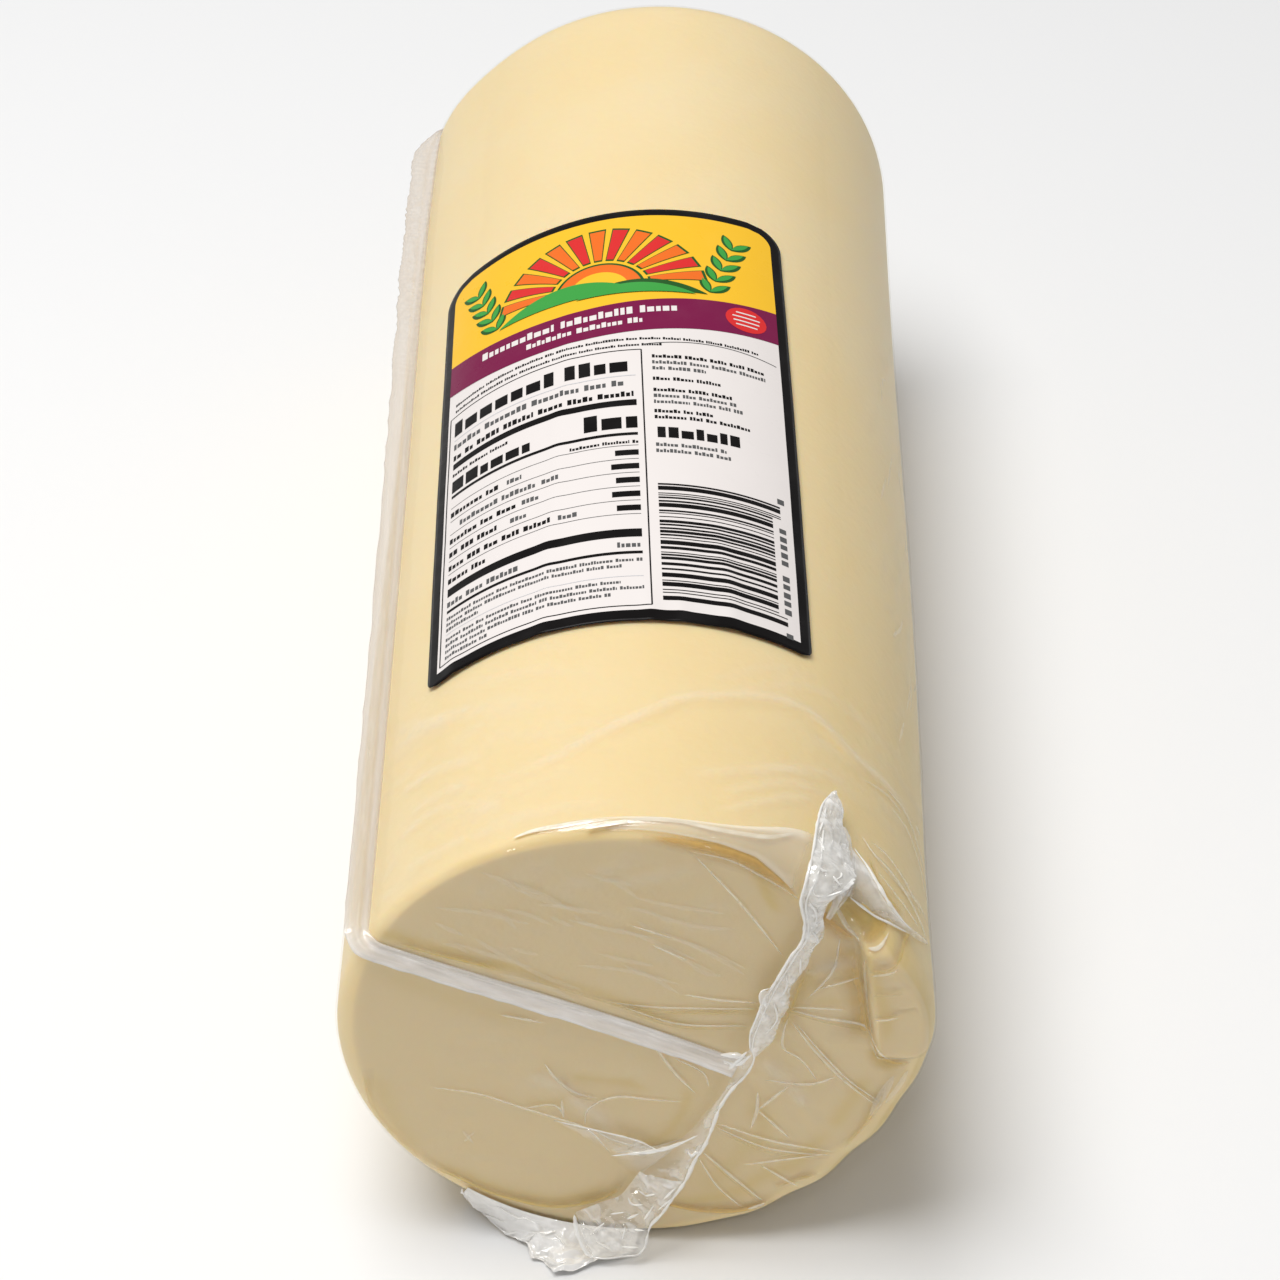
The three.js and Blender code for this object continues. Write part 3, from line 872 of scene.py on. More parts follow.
FACE_SWELLS = (
    # broad soft folds of the near end
    Stroke(((-15.7, 46.8), (-11.8, 48.3), (-5.8, 51.7), (1.2, 58.5)), 2, 0.2),
    Stroke(((-2.4, 48.5), (9.3, 53), (15.3, 54.7)), 1.8, 0.22),
    Stroke(((-7.1, 44.4), (3.6, 46.3), (14.3, 48.6)), 2, -0.16),
    Stroke(((12.2, 41.8), (18.6, 45.1), (21.8, 46.8)), 1.6, 0.18),
    Stroke(((10.1, 37.1), (18.7, 38.9), (24.1, 39.2)), 1.6, 0.16),
    Stroke(((-32.9, 43.9), (-24.2, 48.7), (-15.6, 55.5)), 2.4, 0.14),
    Stroke(((-39.1, 19), (-29, 27), (-20.2, 30.1)), 2.4, 0.1),
    Stroke(((30, 4), (38, 1), (50, -4)), 2.2, -0.4),
    Stroke(((30, -3), (37, -10), (44, -20)), 2.2, 0.4),
    Stroke(((26, -8), (30, -16), (34, -27)), 2, -0.45),
    Stroke(((36, 24), (42, 27), (48, 28)), 1.8, 0.4),
    Stroke(((37, 20), (43, 22), (49, 21)), 1.6, -0.4),
    Stroke(((-24, -10), (-16, -14), (-10, -22), (-4, -30)), 2.4, 0.4),
    Stroke(((-14, -12), (-6, -13), (2, -12)), 2.2, -0.5),
)
# damp showing through the film, and painted shade in the creases and hollows that these strokes follow
DAMP_AND_SHADE_STROKES = (
    # above the ribbon of the long weld, strongest at its left end
    Stroke(((-55, 34), (-47, 31), (-36, 26.5), (-24, 21.5)), 1.7, 0.55),
    Stroke(((-30, 25), (-16, 18.5), (-5, 14), (6, 8.6), (16, 3.5)), 1.4, 0.4),
    Stroke(((-54, 22), (-36, 12), (-20, 3)), 2.6, 0.18),
    # inside the lower left rim
    Stroke(
        ((-49, -39), (-42, -43), (-31.6, -49), (-25, -51.5), (-18, -53), (-11.5, -51.5), (-5, -47)), 1.8, 0.4
    ),
    Stroke(((-58, -10), (-56, -24), (-50, -36)), 3, 0.25),
    # where the face meets the tent under the dog-ear
    Stroke(((12, 63), (19, 60.5), (26, 56.8), (31, 51.5), (35.5, 46.5)), 1.3, 0.6),
    Stroke(((-40, 52), (-22, 60), (-4, 64)), 1.6, 0.2),
    # the hollow between the dog-ear and the lip
    Stroke(((42, 45), (46, 42), (50, 39.5), (54, 37)), 2.4, 0.8),
    Stroke(((50.3, 45), (52.5, 42), (55.5, 38.8)), 1.3, 0.6),
    Stroke(((49, 36), (50, 26), (51, 17), (52.6, 7)), 1.5, 0.5),
    Stroke(((53, 2), (57, -3), (61, -6)), 1.8, 0.55),
    Stroke(((55, -8), (54, -18), (50, -28)), 2.2, 0.4),
    # along the lower right rim
    Stroke(((50, -29), (43, -38), (34, -44), (24, -50), (14, -53), (6, -52)), 2.2, 0.45),
    # round the end seal
    Stroke(((30, 18), (29, 8), (27, 0)), 3, 0.35),
    Stroke(((14, -14), (12, -22), (7, -31), (2, -34), (-6, -31), (-10, -27)), 1.5, 0.4),
    Stroke(((-15, -11.3), (-9, -12.4), (-2, -13.6), (4, -15.5)), 1.5, 0.32),
    Stroke(((29, -20), (33, -27), (26, -38), (16, -50)), 3, 0.3),
    Stroke(((-25, -19.5), (-17, -19), (-13, -15)), 1.4, 0.3),
    Stroke(((6, 10.5), (14, 10.5), (27, 10.5)), 1.2, 0.35),
    Stroke(((35, 14.5), (48, 14.5)), 1.2, 0.3),
)


@dataclass(frozen=True)
class LogBlank:
    """A closed surface over the whole log, finest round its near end."""

    steps: int
    face_rings: int
    rim_rings: int
    near_step: float
    near_side: float
    far_step: float
    far_rings: int
    rim: float = 7.0

    def profile(self) -> list[Place2D]:
        """The outline of the blank, from the middle of one end to the middle of the other."""
        end = FORM.half_length - self.rim
        near = np.arange(-end + self.near_step, self.near_side, self.near_step)
        far = np.arange(self.near_side, end - 1, self.far_step)
        return log_profile(self.face_rings, self.rim_rings, [*near, *far], self.far_rings, self.rim)

    def raised(self, name: str, finish: CheeseFinish | FilmFinish, rise: Carry) -> Raised:
        """Makes a piece of it, raised or lowered along its normals.

        Args:
            name: The piece's name.
            finish: Its finish.
            rise: Gives heights for points of the blank and their places on the log, in millimetres.

        Returns:
            The piece, the points of its blank and their heights.
        """
        mesh = turned_blank(self.profile(), self.steps)
        piece = piece_of(name, mesh, [finish.material()], CHEESE_NODE)
        vertices = piece.data.vertices
        blank = coordinates(piece.data)
        places = FORM.carry(blank, self.rim)
        vertices.foreach_set("co", (places * MM).ravel())
        piece.data.update()
        normals = np.zeros(len(places) * 3)
        vertices.foreach_get("normal", normals)
        height = rise(blank, places)
        places += height[:, None] * normals.reshape(-1, 3)
        places[:, 2] = np.maximum(0, places[:, 2])
        vertices.foreach_set("co", (places * MM).ravel())
        piece.data.update()
        return piece, blank, height


@dataclass
class CheeseLog:
    """The log of cheese inside the bag."""

    finish: CheeseFinish
    surface: LogBlank = LogBlank(320, 70, 12, 1.7, -112.0, 6.0, 18)
    film_gap: float = 0.45
    lip_at: float = 75.0
    lip_spread: float = 16.0

    def build(self) -> None:
        """Builds and dresses the piece."""
        piece, blank, _ = self.surface.raised("cheese", self.finish, self.rise)
        write_attribute(piece.data, "damp_and_shade", self.damp_and_shade(blank))
        write_attribute(piece.data, "near_end_shade", self.near_end_share(blank))

    def rise(self, blank: Array, places: Array) -> Array:
        """How far its surface stands from the film's plain form."""
        return strokes_on(blank, (*WAVES, *PAD_WRINKLES, *FACE_SWELLS), self.surface.rim) - self.film_gap

    def near_end_share(self, blank: Array) -> Array:
        """Where the blank takes the near end's painted shade, which runs out to the edge over the lip."""
        angle = np.arctan2(blank[:, 0], blank[:, 2])
        at_lip = bell(turn_between(angle, math.radians(self.lip_at)), math.radians(self.lip_spread))
        inside = smooth((62.6 + 4.2 * at_lip - np.hypot(blank[:, 0], blank[:, 2])) / 1.8)
        return inside * (blank[:, 1] < -FORM.half_length + 1 + 5 * at_lip)

    def damp_and_shade(self, blank: Array) -> Array:
        """How deep the cheese's colour is at points of the blank, from 0 to 1: deeper towards the near end,
        with painted shade on the right side, and with damp and painted shade along the strokes.
        """
        nearness = smooth((60 - blank[:, 1]) / 230)
        # painted shade: the right side, turned away from the key light, is painted deeper, most of all
        # towards the near end
        right = smooth((np.degrees(np.arctan2(blank[:, 0], blank[:, 2])) - 25) / 55) * (blank[:, 0] > 0)
        near = 0.15 * nearness + right * mix(0.14, 0.56, nearness) * (blank[:, 1] > -FORM.half_length + 2)
        return np.clip(near + strokes_on(blank, DAMP_AND_SHADE_STROKES, self.surface.rim), 0, 1)


# ---- The film -------------------------------------------------------------------------------

FACE_LINES = (
    ((-5.5, 13.5), (4.9, 12.2), (14.8, 12.2), (27.6, 12.8)),
    ((11.2, 16.5), (19.2, 15.1), (27.5, 14.7)),
    ((-2.8, 12.3), (9.3, 7.2), (25.6, 7.1)),
    ((34.6, 13.8), (46.7, 13.7)),
    ((34.6, 13), (40.7, 11), (50.9, 8.8), (57.3, 2.3)),
    ((34.7, 11.6), (33.5, 6.4), (34, -0.2), (36.6, -2), (41.4, -9.3)),
    ((34.9, 9.4), (41.1, -0.7), (46.5, -8), (55.7, -17.6)),
    ((36.2, 8.6), (42.4, -1), (48, -8.4), (56.5, -16.4)),
    ((29.6, -10), (41, -10.4), (45.5, -8)),
    ((35.3, -11.3), (28.3, -19.9)),
    ((28.2, -13.8), (28.1, -19.9), (26.9, -26)),
    ((28.3, -19.9), (35.9, -28.8)),
    ((40.4, 19.8), (50.3, 24.2)),
    ((38.4, 16.9), (40.4, 19.8), (43.2, 24.8), (44.8, 36.1)),
    ((15.8, -33.9), (22, -41), (30.3, -50.2)),
    ((18.9, -24.6), (31.9, -29.8), (45.4, -32.6)),
    ((18.9, -26), (31, -32.2), (45.4, -34)),
    ((25.6, -38), (44.4, -33.5)),
    ((29.4, -37.9), (38.3, -45)),
    ((4.3, 0.6), (10.2, -10), (14.2, -15.3)),
    ((9.1, -3.9), (16.5, -9.8), (17.1, -12.9)),
    ((-45.3, -13.9), (-35.3, -16), (-24.7, -20.8), (-16.2, -24.5), (-10.9, -27.1), (-5, -35.3)),
    ((-19.9, -6.2), (-17.1, -11.5), (-12.4, -16.1), (-8.1, -17.5)),
    ((-16.1, -17.8), (-15.7, -24.1)),
    ((-24.7, -20.8), (-17.2, -20.2), (-15.6, -23.2)),
    ((-10.9, -26.3), (-10.3, -21.5), (-7.6, -18.7), (-3.9, -17), (3.6, -17.6), (11.1, -18.1)),
    ((-4.4, -35.3), (6.4, -33), (14.9, -29.5)),
    ((-29.4, 9.4), (-20, 6.8)),
    ((-9.8, -27), (-4.4, -30.9), (3.7, -33.1), (11.7, -30)),
    ((15, -36), (20, -46), (26, -53)),
    ((-0.9, 38.3), (8.7, 34.3)),
    ((4.1, 32.1), (11.7, 27.5)),
)
SIDE_LINES = (
    ((50.7, -155.5), (55, -156.6), (60.8, -156.3), (68.3, -152.7), (75.8, -152.1)),
    ((56, -128.5), (64, -127.5), (72, -131), (80, -139)),
    ((58, -133), (66, -133), (74, -139), (82, -150)),
)
RIM_GLEAMS = (
    ((-22.6, -172.6), (-19.7, -172), (-13.6, -172), (-6.9, -171.6), (-4.3, -171.6)),
    ((-9, -173.8), (-5.3, -173), (3, -171.2)),
    ((-1, -171.6), (4.8, -171.1), (12.5, -171)),
    ((7, -171.2), (16.4, -171.5), (25.3, -169.4), (31, -164.9)),
)
EAR_FOLDS = (
    # folds that run from the dog-ear down the right side: line, width, height, milkiness and place
    (((54, -168.6), (58.9, -168.9), (63, -167.4), (68.6, -163.6), (73, -160)), 1.8, 0.5, 0.9, Place.SIDE),
    (
        ((47.4, -152.5), (50.9, -155), (55.1, -155.3), (61.2, -156.4), (66.8, -158), (72, -160)),
        1, 0.3, 0.9, Place.SIDE,
    ),
    (((52, -159.5), (56, -160.8), (61, -161.5), (67, -161.5)), 0.8, 0.2, 0.6, Place.SIDE),
    (((50.5, -151.7), (55, -151.2), (59.5, -152), (64.8, -153.6), (69.3, -155.1)), 0.9, 0.2, 0.6, Place.SIDE),
    (((-38.9, -27.9), (-36.3, -32.5)), 0.8, 0.05, 0.2, Place.NEAR_END),
    (((-36.1, -28.5), (-38.5, -31.9)), 0.8, 0.05, 0.2, Place.NEAR_END),
    (((49, -133.2), (57.1, -130.3), (62.1, -130.1)), 1, 0.14, 0.3, Place.SIDE),
    (((69.9, -125.3), (73.9, -123.6)), 1.2, 0.2, 0.5, Place.SIDE),
    (((42.5, 46), (44.5, 42), (46.1, 39), (49.5, 35.2)), 1, 0.25, 0.7, Place.NEAR_END),
    # painted highlights: milky lines along the pad's top edge, under its creases, at its foot and along its
    # inner edge
    (((50.6, 36.2), (52.6, 36), (55.4, 36.9)), 0.6, 0.14, 1.2, Place.NEAR_END),
    (((51.4, 29.3), (54.5, 29.9), (57.5, 30.8)), 0.7, 0.12, 0.6, Place.NEAR_END),
    (((53, 15.6), (55.5, 15.8), (58, 16.6)), 0.7, 0.12, 0.7, Place.NEAR_END),
    (((52.4, 5), (54.2, 2.6), (57, 0.8), (61.4, -0.8)), 1, 0.25, 1.2, Place.NEAR_END),
    (((50, 33), (50.5, 26), (51.2, 18), (52.8, 9)), 0.7, 0.15, 0.6, Place.NEAR_END),
    (((12, 61.1), (20.7, 58.4), (28.1, 53), (35.5, 46.7)), 0.6, 0.12, 0.6, Place.NEAR_END),
    (((13.1, 59.7), (22.9, 45.9), (32.6, 29.9)), 0.7, 0.15, 0.8, Place.NEAR_END),
    (((26.6, -53.3), (31, -51.1)), 1.1, 0.4, 1, Place.NEAR_END),
    (((53.8, -21), (56, -14), (58.4, -7)), 2.4, 0.4, 0.35, Place.NEAR_END),
    (((57, -17), (60, -11), (61.5, -6)), 1.8, 0.4, 0.4, Place.NEAR_END),
)
# strips of damp showing through the film, and of painted shade in its creases, hollows and valleys
DAMP_AND_SHADE_STRIPS = (
    # the crisp line inside the lower left rim
    DampAndShadeStrip(
        (
            (-49, -40), (-42.3, -43.4), (-31.6, -50.2), (-27, -52.1), (-18.2, -54.3), (-11.5, -53.1),
            (-3.6, -48.5), (-0.6, -42.4),
        ),
        3.2, 0.8,
    ),
    DampAndShadeStrip(((-61, -8), (-59, -24), (-52, -36), (-46, -42)), 2.6, 0.35),
    # the tent's lower edge
    DampAndShadeStrip(((35.5, 47.9), (29.8, 54.4), (26, 58.4), (19, 62.2), (12, 64), (2, 65.2)), 4.2, 1, warm=0.9),
    # the lip's inner edge, its pocket and its foot
    DampAndShadeStrip(((53, 3), (52.8, 8), (51.6, 16), (50.7, 22), (50.2, 27), (49.4, 35.5)), 8, 0.75, warm=0.5),
    DampAndShadeStrip(((49.3, 36.6), (52.5, 36.8), (57, 38.4)), 4.6, 0.6, warm=0.3),
    DampAndShadeStrip(((50.8, 30), (54.5, 30.7), (58, 31.8), (61.5, 33.6)), 1.5, 0.6, warm=0.3),
    DampAndShadeStrip(((52.2, 23), (55.5, 23.2), (59, 23.8)), 1.3, 0.3, warm=0.3),
    DampAndShadeStrip(((52.8, 16.2), (55.5, 16.4), (58.5, 17.4)), 1.3, 0.4, warm=0.3),
    DampAndShadeStrip(((62, -3), (57, -1), (53.4, 2.6)), 4, 0.7, warm=0.3),
    DampAndShadeStrip(((49.4, 34.8), (45.5, 39), (41, 44), (37, 47)), 4.5, 0.75, warm=1),
    DampAndShadeStrip(((40, 47.5), (45, 43), (50, 37)), 3.5, 0.4, warm=0.3),
    # along the lower right rim
    DampAndShadeStrip(((4, -51), (15.7, -54.6), (27.1, -54.2), (34, -50)), 3.6, 0.95, warm=0.6),
    # the valley beside the glossy fold, and the right of the end seal
    DampAndShadeStrip(((48.6, -157.5), (50.4, -161), (52.8, -164), (56.5, -166), (61, -165.5)), 3.2, 0.75, Place.SIDE),
    DampAndShadeStrip(((39, 31), (35.6, 22), (34.2, 14), (31.6, 6)), 6, 0.55),
    DampAndShadeStrip(((33, -45.5), (38, -43), (43, -41.5)), 2.6, 0.6, warm=0.5),
    DampAndShadeStrip(((48.5, -32), (52.9, -24.5), (56.5, -16), (57, -10)), 3, 0.6, warm=0.3),
    # beside the ribbon of the long weld
    DampAndShadeStrip(((-52, 31.6), (-40, 27), (-28, 22.6)), 2.6, 0.7),
    DampAndShadeStrip(((-28, 22.6), (-14, 16.6), (2, 9.6), (12, 5)), 1.8, 0.4),
    # beside the folds that run to the end seal
    DampAndShadeStrip(((-5, 11.6), (8, 10.4), (26, 10.6)), 1.6, 0.4),
    DampAndShadeStrip(((-3, 10.8), (9, 5.9), (25, 5.6)), 1.8, 0.35),
    DampAndShadeStrip(((34, 12.2), (41, 9.6), (51, 7)), 1.5, 0.35),
    DampAndShadeStrip(((35.6, 7.4), (41.6, -2.4), (47.4, -9.8), (56, -17.8)), 1.5, 0.35),
    DampAndShadeStrip(((-17, -11), (-12.8, -17.4), (-8.4, -18.8)), 2, 0.45),
    DampAndShadeStrip(((-10.6, -27), (-5, -32), (4, -34.6), (12, -31.2)), 1.8, 0.5),
    DampAndShadeStrip(((16.2, -35.6), (22, -42.6), (30, -51.6)), 1.4, 0.3),
    DampAndShadeStrip(((18.9, -27.4), (31, -33.8), (45, -35.4)), 1.4, 0.3),
)


@dataclass
class ShrinkFilm:
    """The bag shrunk onto the cheese: its skin, and the narrow folds that stand on it."""

    finish: FilmFinish
    pleat_finish: FilmFinish
    damp_and_shade_finish: FilmFinish
    surface: LogBlank = LogBlank(352, 80, 14, 1.3, -55.0, 5.0, 24)

    def build(self) -> None:
        """Builds and dresses its pieces."""
        self.build_skin()
        self.build_damp_and_shade()
        self.build_pleats()

    def waves(self) -> tuple[Stroke, ...]:
        """Soft ridges of the skin: the named ones and many faint ones strewn between them."""
        faint = [
            Stroke(line, 1.4, 0.06, Place.NEAR_END)
            for line in scattered(34, 3, (-42, 14, 12, 56), -25, 16, Place.NEAR_END)
            + scattered(26, 4, (-48, -8, -46, 8), -12, 18, Place.NEAR_END)
            + scattered(22, 5, (18, 48, -44, 20), -55, 15, Place.NEAR_END)
        ]
        side = [
            Stroke(line, 1.7, 0.12, Place.SIDE)
            for line in scattered(26, 6, (-58, -8, -168, -112), -12, 24, Place.SIDE)
            + scattered(22, 7, (20, 80, -168, -112), 20, 22, Place.SIDE)
            + scattered(24, 8, (55, 90, -110, 60), 70, 26, Place.SIDE)
        ]
        return (*WAVES, *PAD_WRINKLES, *FACE_SWELLS, *faint, *side)

    def build_skin(self) -> None:
        """The skin, one closed surface over the whole log."""
        piece, _, height = self.surface.raised("film", self.finish, self.rise)
        # painted highlight: milk whitens the crests of the skin's waves
        write_attribute(piece.data, "milk_and_highlight", np.clip(0.6 * height, 0, 0.32))

    def rise(self, blank: Array, places: Array) -> Array:
        """How far the skin stands off its plain form, dying out towards the floor."""
        return strokes_on(blank, self.waves(), self.surface.rim) * smooth(places[:, 2] / 6)

    def build_pleats(self) -> None:
        """The narrow folds, each with its own milkiness; the strips along the rim and at the pad's edges are
        painted highlight glints.
        """
        rng = np.random.default_rng(11)
        pleats = [(Pleat(line, rng.uniform(0.55, 0.9), rng.uniform(0.1, 0.18)), 0.8) for line in FACE_LINES]
        pleats += [(Pleat(line, 1.2, 0.1, Place.SIDE), 0.35) for line in SIDE_LINES]
        # painted highlight: white strips standing for the glints along the top of the near rim
        pleats += [(Pleat(line, 1.4, 0.2, Place.SIDE), 1.7) for line in RIM_GLEAMS]
        pleats += [(Pleat(line, *size, place), milky) for line, *size, milky, place in EAR_FOLDS]
        faint = scattered(34, 21, (-40, 16, 14, 52), -25, 16, Place.NEAR_END)
        pleats += [(Pleat(line, 1.3, 0.03), 0.07) for line in faint]
        right = scattered(16, 25, (60, 86, -100, 40), 75, 14, Place.SIDE)
        pleats += [(Pleat(line, 1.0, 0.05, Place.SIDE), 0.14) for line in right]
        pleats += [(Pleat(line, 0.6, 0.2, Place.FAR_END), 0.6) for line in self.far_lines()]
        bm = bmesh.new()
        milk_and_highlight = []
        for pleat, milky in pleats:
            before = len(bm.verts)
            pleat.add_to(bm)
            milk_and_highlight += [milky] * (len(bm.verts) - before)
        film_piece("film_pleats", bm, self.pleat_finish, np.array(milk_and_highlight))

    def build_damp_and_shade(self) -> None:
        """Damp, and painted shade, along the folds, creases and hollows."""
        bm = bmesh.new()
        strengths = [damp_shade_strip.add_to(bm) for damp_shade_strip in DAMP_AND_SHADE_STRIPS]
        warmth = np.repeat([damp_shade_strip.warm for damp_shade_strip in DAMP_AND_SHADE_STRIPS], [len(strength) for strength in strengths])
        piece = film_piece("film_damp_and_shade", bm, self.damp_and_shade_finish, np.concatenate(strengths))
        write_attribute(piece.data, "pale", 1 - warmth)

    def far_lines(self) -> list[tuple]:
        """Folds that run from the far seal to the far rim."""
        rng = np.random.default_rng(31)
        lines = []
        for k in range(26):
            start = (k / 25 - 0.5) * 96
            run = np.array([math.sin(math.radians(24)), math.cos(math.radians(24))])
            root = run * start + np.array([run[1], -run[0]]) * rng.choice([-5, 5])
            away = root + np.array([run[1], -run[0]]) * np.sign(rng.normal()) * rng.uniform(12, 26)
            tip = away + run * rng.normal(0, 6)
            if np.hypot(*tip) < 60 and np.hypot(*root) < 60:
                lines.append((tuple(root), tuple(tip)))
        return lines


# ---- The bag's welds ------------------------------------------------------------------------

@dataclass(frozen=True)
class Web:
    """A sheet of crushed film between two edges in space, in millimetres."""

    first: Path
    second: Path
    along: int
    across: int
    arch: float = 0.0
    depth: float = 0.4
    facet: float = 3.0
    ragged: float = 0.0
    seed: int = 1
    milky: tuple[float, float] = (0.7, 0.7)
    outwards: Point = (0.0, -1.0, 0.4)

    def folds(self, place: Array) -> Array:
        """The height of its folds at points in space."""
        return creased(place, self.facet, self.seed) + 0.35 * creased(place, self.facet * 0.4, self.seed + 3)

    def add_to(self, bm: BMesh) -> Array:
        """Adds the sheet to a mesh and returns how milky it is at each of its new corners, with painted
        highlights along its fold crests.
        """

        def carry(s: Array, t: Array) -> Array:
            """A point of the sheet."""
            a, b = spline(self.first, s), spline(self.second, s)
            normal = unit(np.cross(heading(self.first, s), b - a))
            normal *= np.sign(normal @ np.array(self.outwards))[:, None]
            slow = stack(s * self.along * 0.4, 0, 0)
            reach = t * (1 + self.ragged * crumple(slow, 2.4, self.seed + 7)) if self.ragged else t
            place = mix(a, b, reach[:, None])
            hem = smooth(5 * t) * smooth(5 * (1 - t))
            lift = self.arch * np.sin(np.pi * t) + self.depth * self.folds(place) * mix(0.3, 1.0, hem)
            return place + normal * lift[:, None]

        add_sheet(bm, self.along, self.across, carry)
        s, t = grid_shares(self.along, self.across)
        place = mix(spline(self.first, s), spline(self.second, s), t[:, None])
        # painted highlight along the crests of the folds
        crest_highlight = smooth((self.folds(place) - 0.25) * 2.2)
        patches = 0.5 + 0.5 * creased(place, self.facet * 2.2, self.seed + 9)
        base = mix(*self.milky, t)
        milky = base * (0.5 + 0.6 * np.clip(patches, 0, 1)) + 0.35 * crest_highlight * smooth(base * 4)
        return np.clip(milky, 0, 1)


@dataclass(frozen=True)
class Bead:
    """A narrow white bead along a line in space, in millimetres, used for the film's rolled edges and for
    painted highlight glints along folds.
    """

    points: Path
    width: float = 0.9
    height: float = 0.4
    blunt: float = 0.35
    outwards: Point = (0.0, -1.0, 0.5)

    def add_to(self, bm: BMesh, step: float = 0.8) -> None:
        """Adds the bead's back to a mesh."""
        length = np.linalg.norm(np.diff(np.array(self.points), axis=0), axis=1).sum()

        def carry(s: Array, t: Array) -> Array:
            """A point of the bead's back."""
            here = spline(self.points, s)
            run = unit(heading(self.points, s))
            side = unit(np.cross(run, np.array(self.outwards)))
            up = np.cross(side, run)
            fullness = np.clip(np.sin(np.pi * np.clip(s, 0, 1)), 0, 1) ** self.blunt
            fullness = fullness * (0.8 + 0.35 * creased(here, 2.2, 5))
            across, lift = -0.5 * self.width * np.cos(np.pi * t), self.height * np.sin(np.pi * t)
            return here + (side * across[:, None] + up * lift[:, None]) * fullness[:, None]

        add_sheet(bm, max(6, round(length / step)), 5, carry)


def shifted(points: Path, x: float, y: float, z: float) -> Path:
    """The same line moved by a distance."""
    return tuple((a + x, b + y, c + z) for a, b, c in points)


def between(first: Path, second: Path, share: float, lift: float = 0.0) -> Path:
    """A line that runs between two others, nearer to one or the other, and proud of them."""
    steps = np.linspace(0, 1, max(len(first), len(second)) * 2)
    middle = mix(spline(first, steps), spline(second, steps), share) + np.array((0, -0.9, 0.4)) * lift
    return tuple(tuple(point) for point in middle)


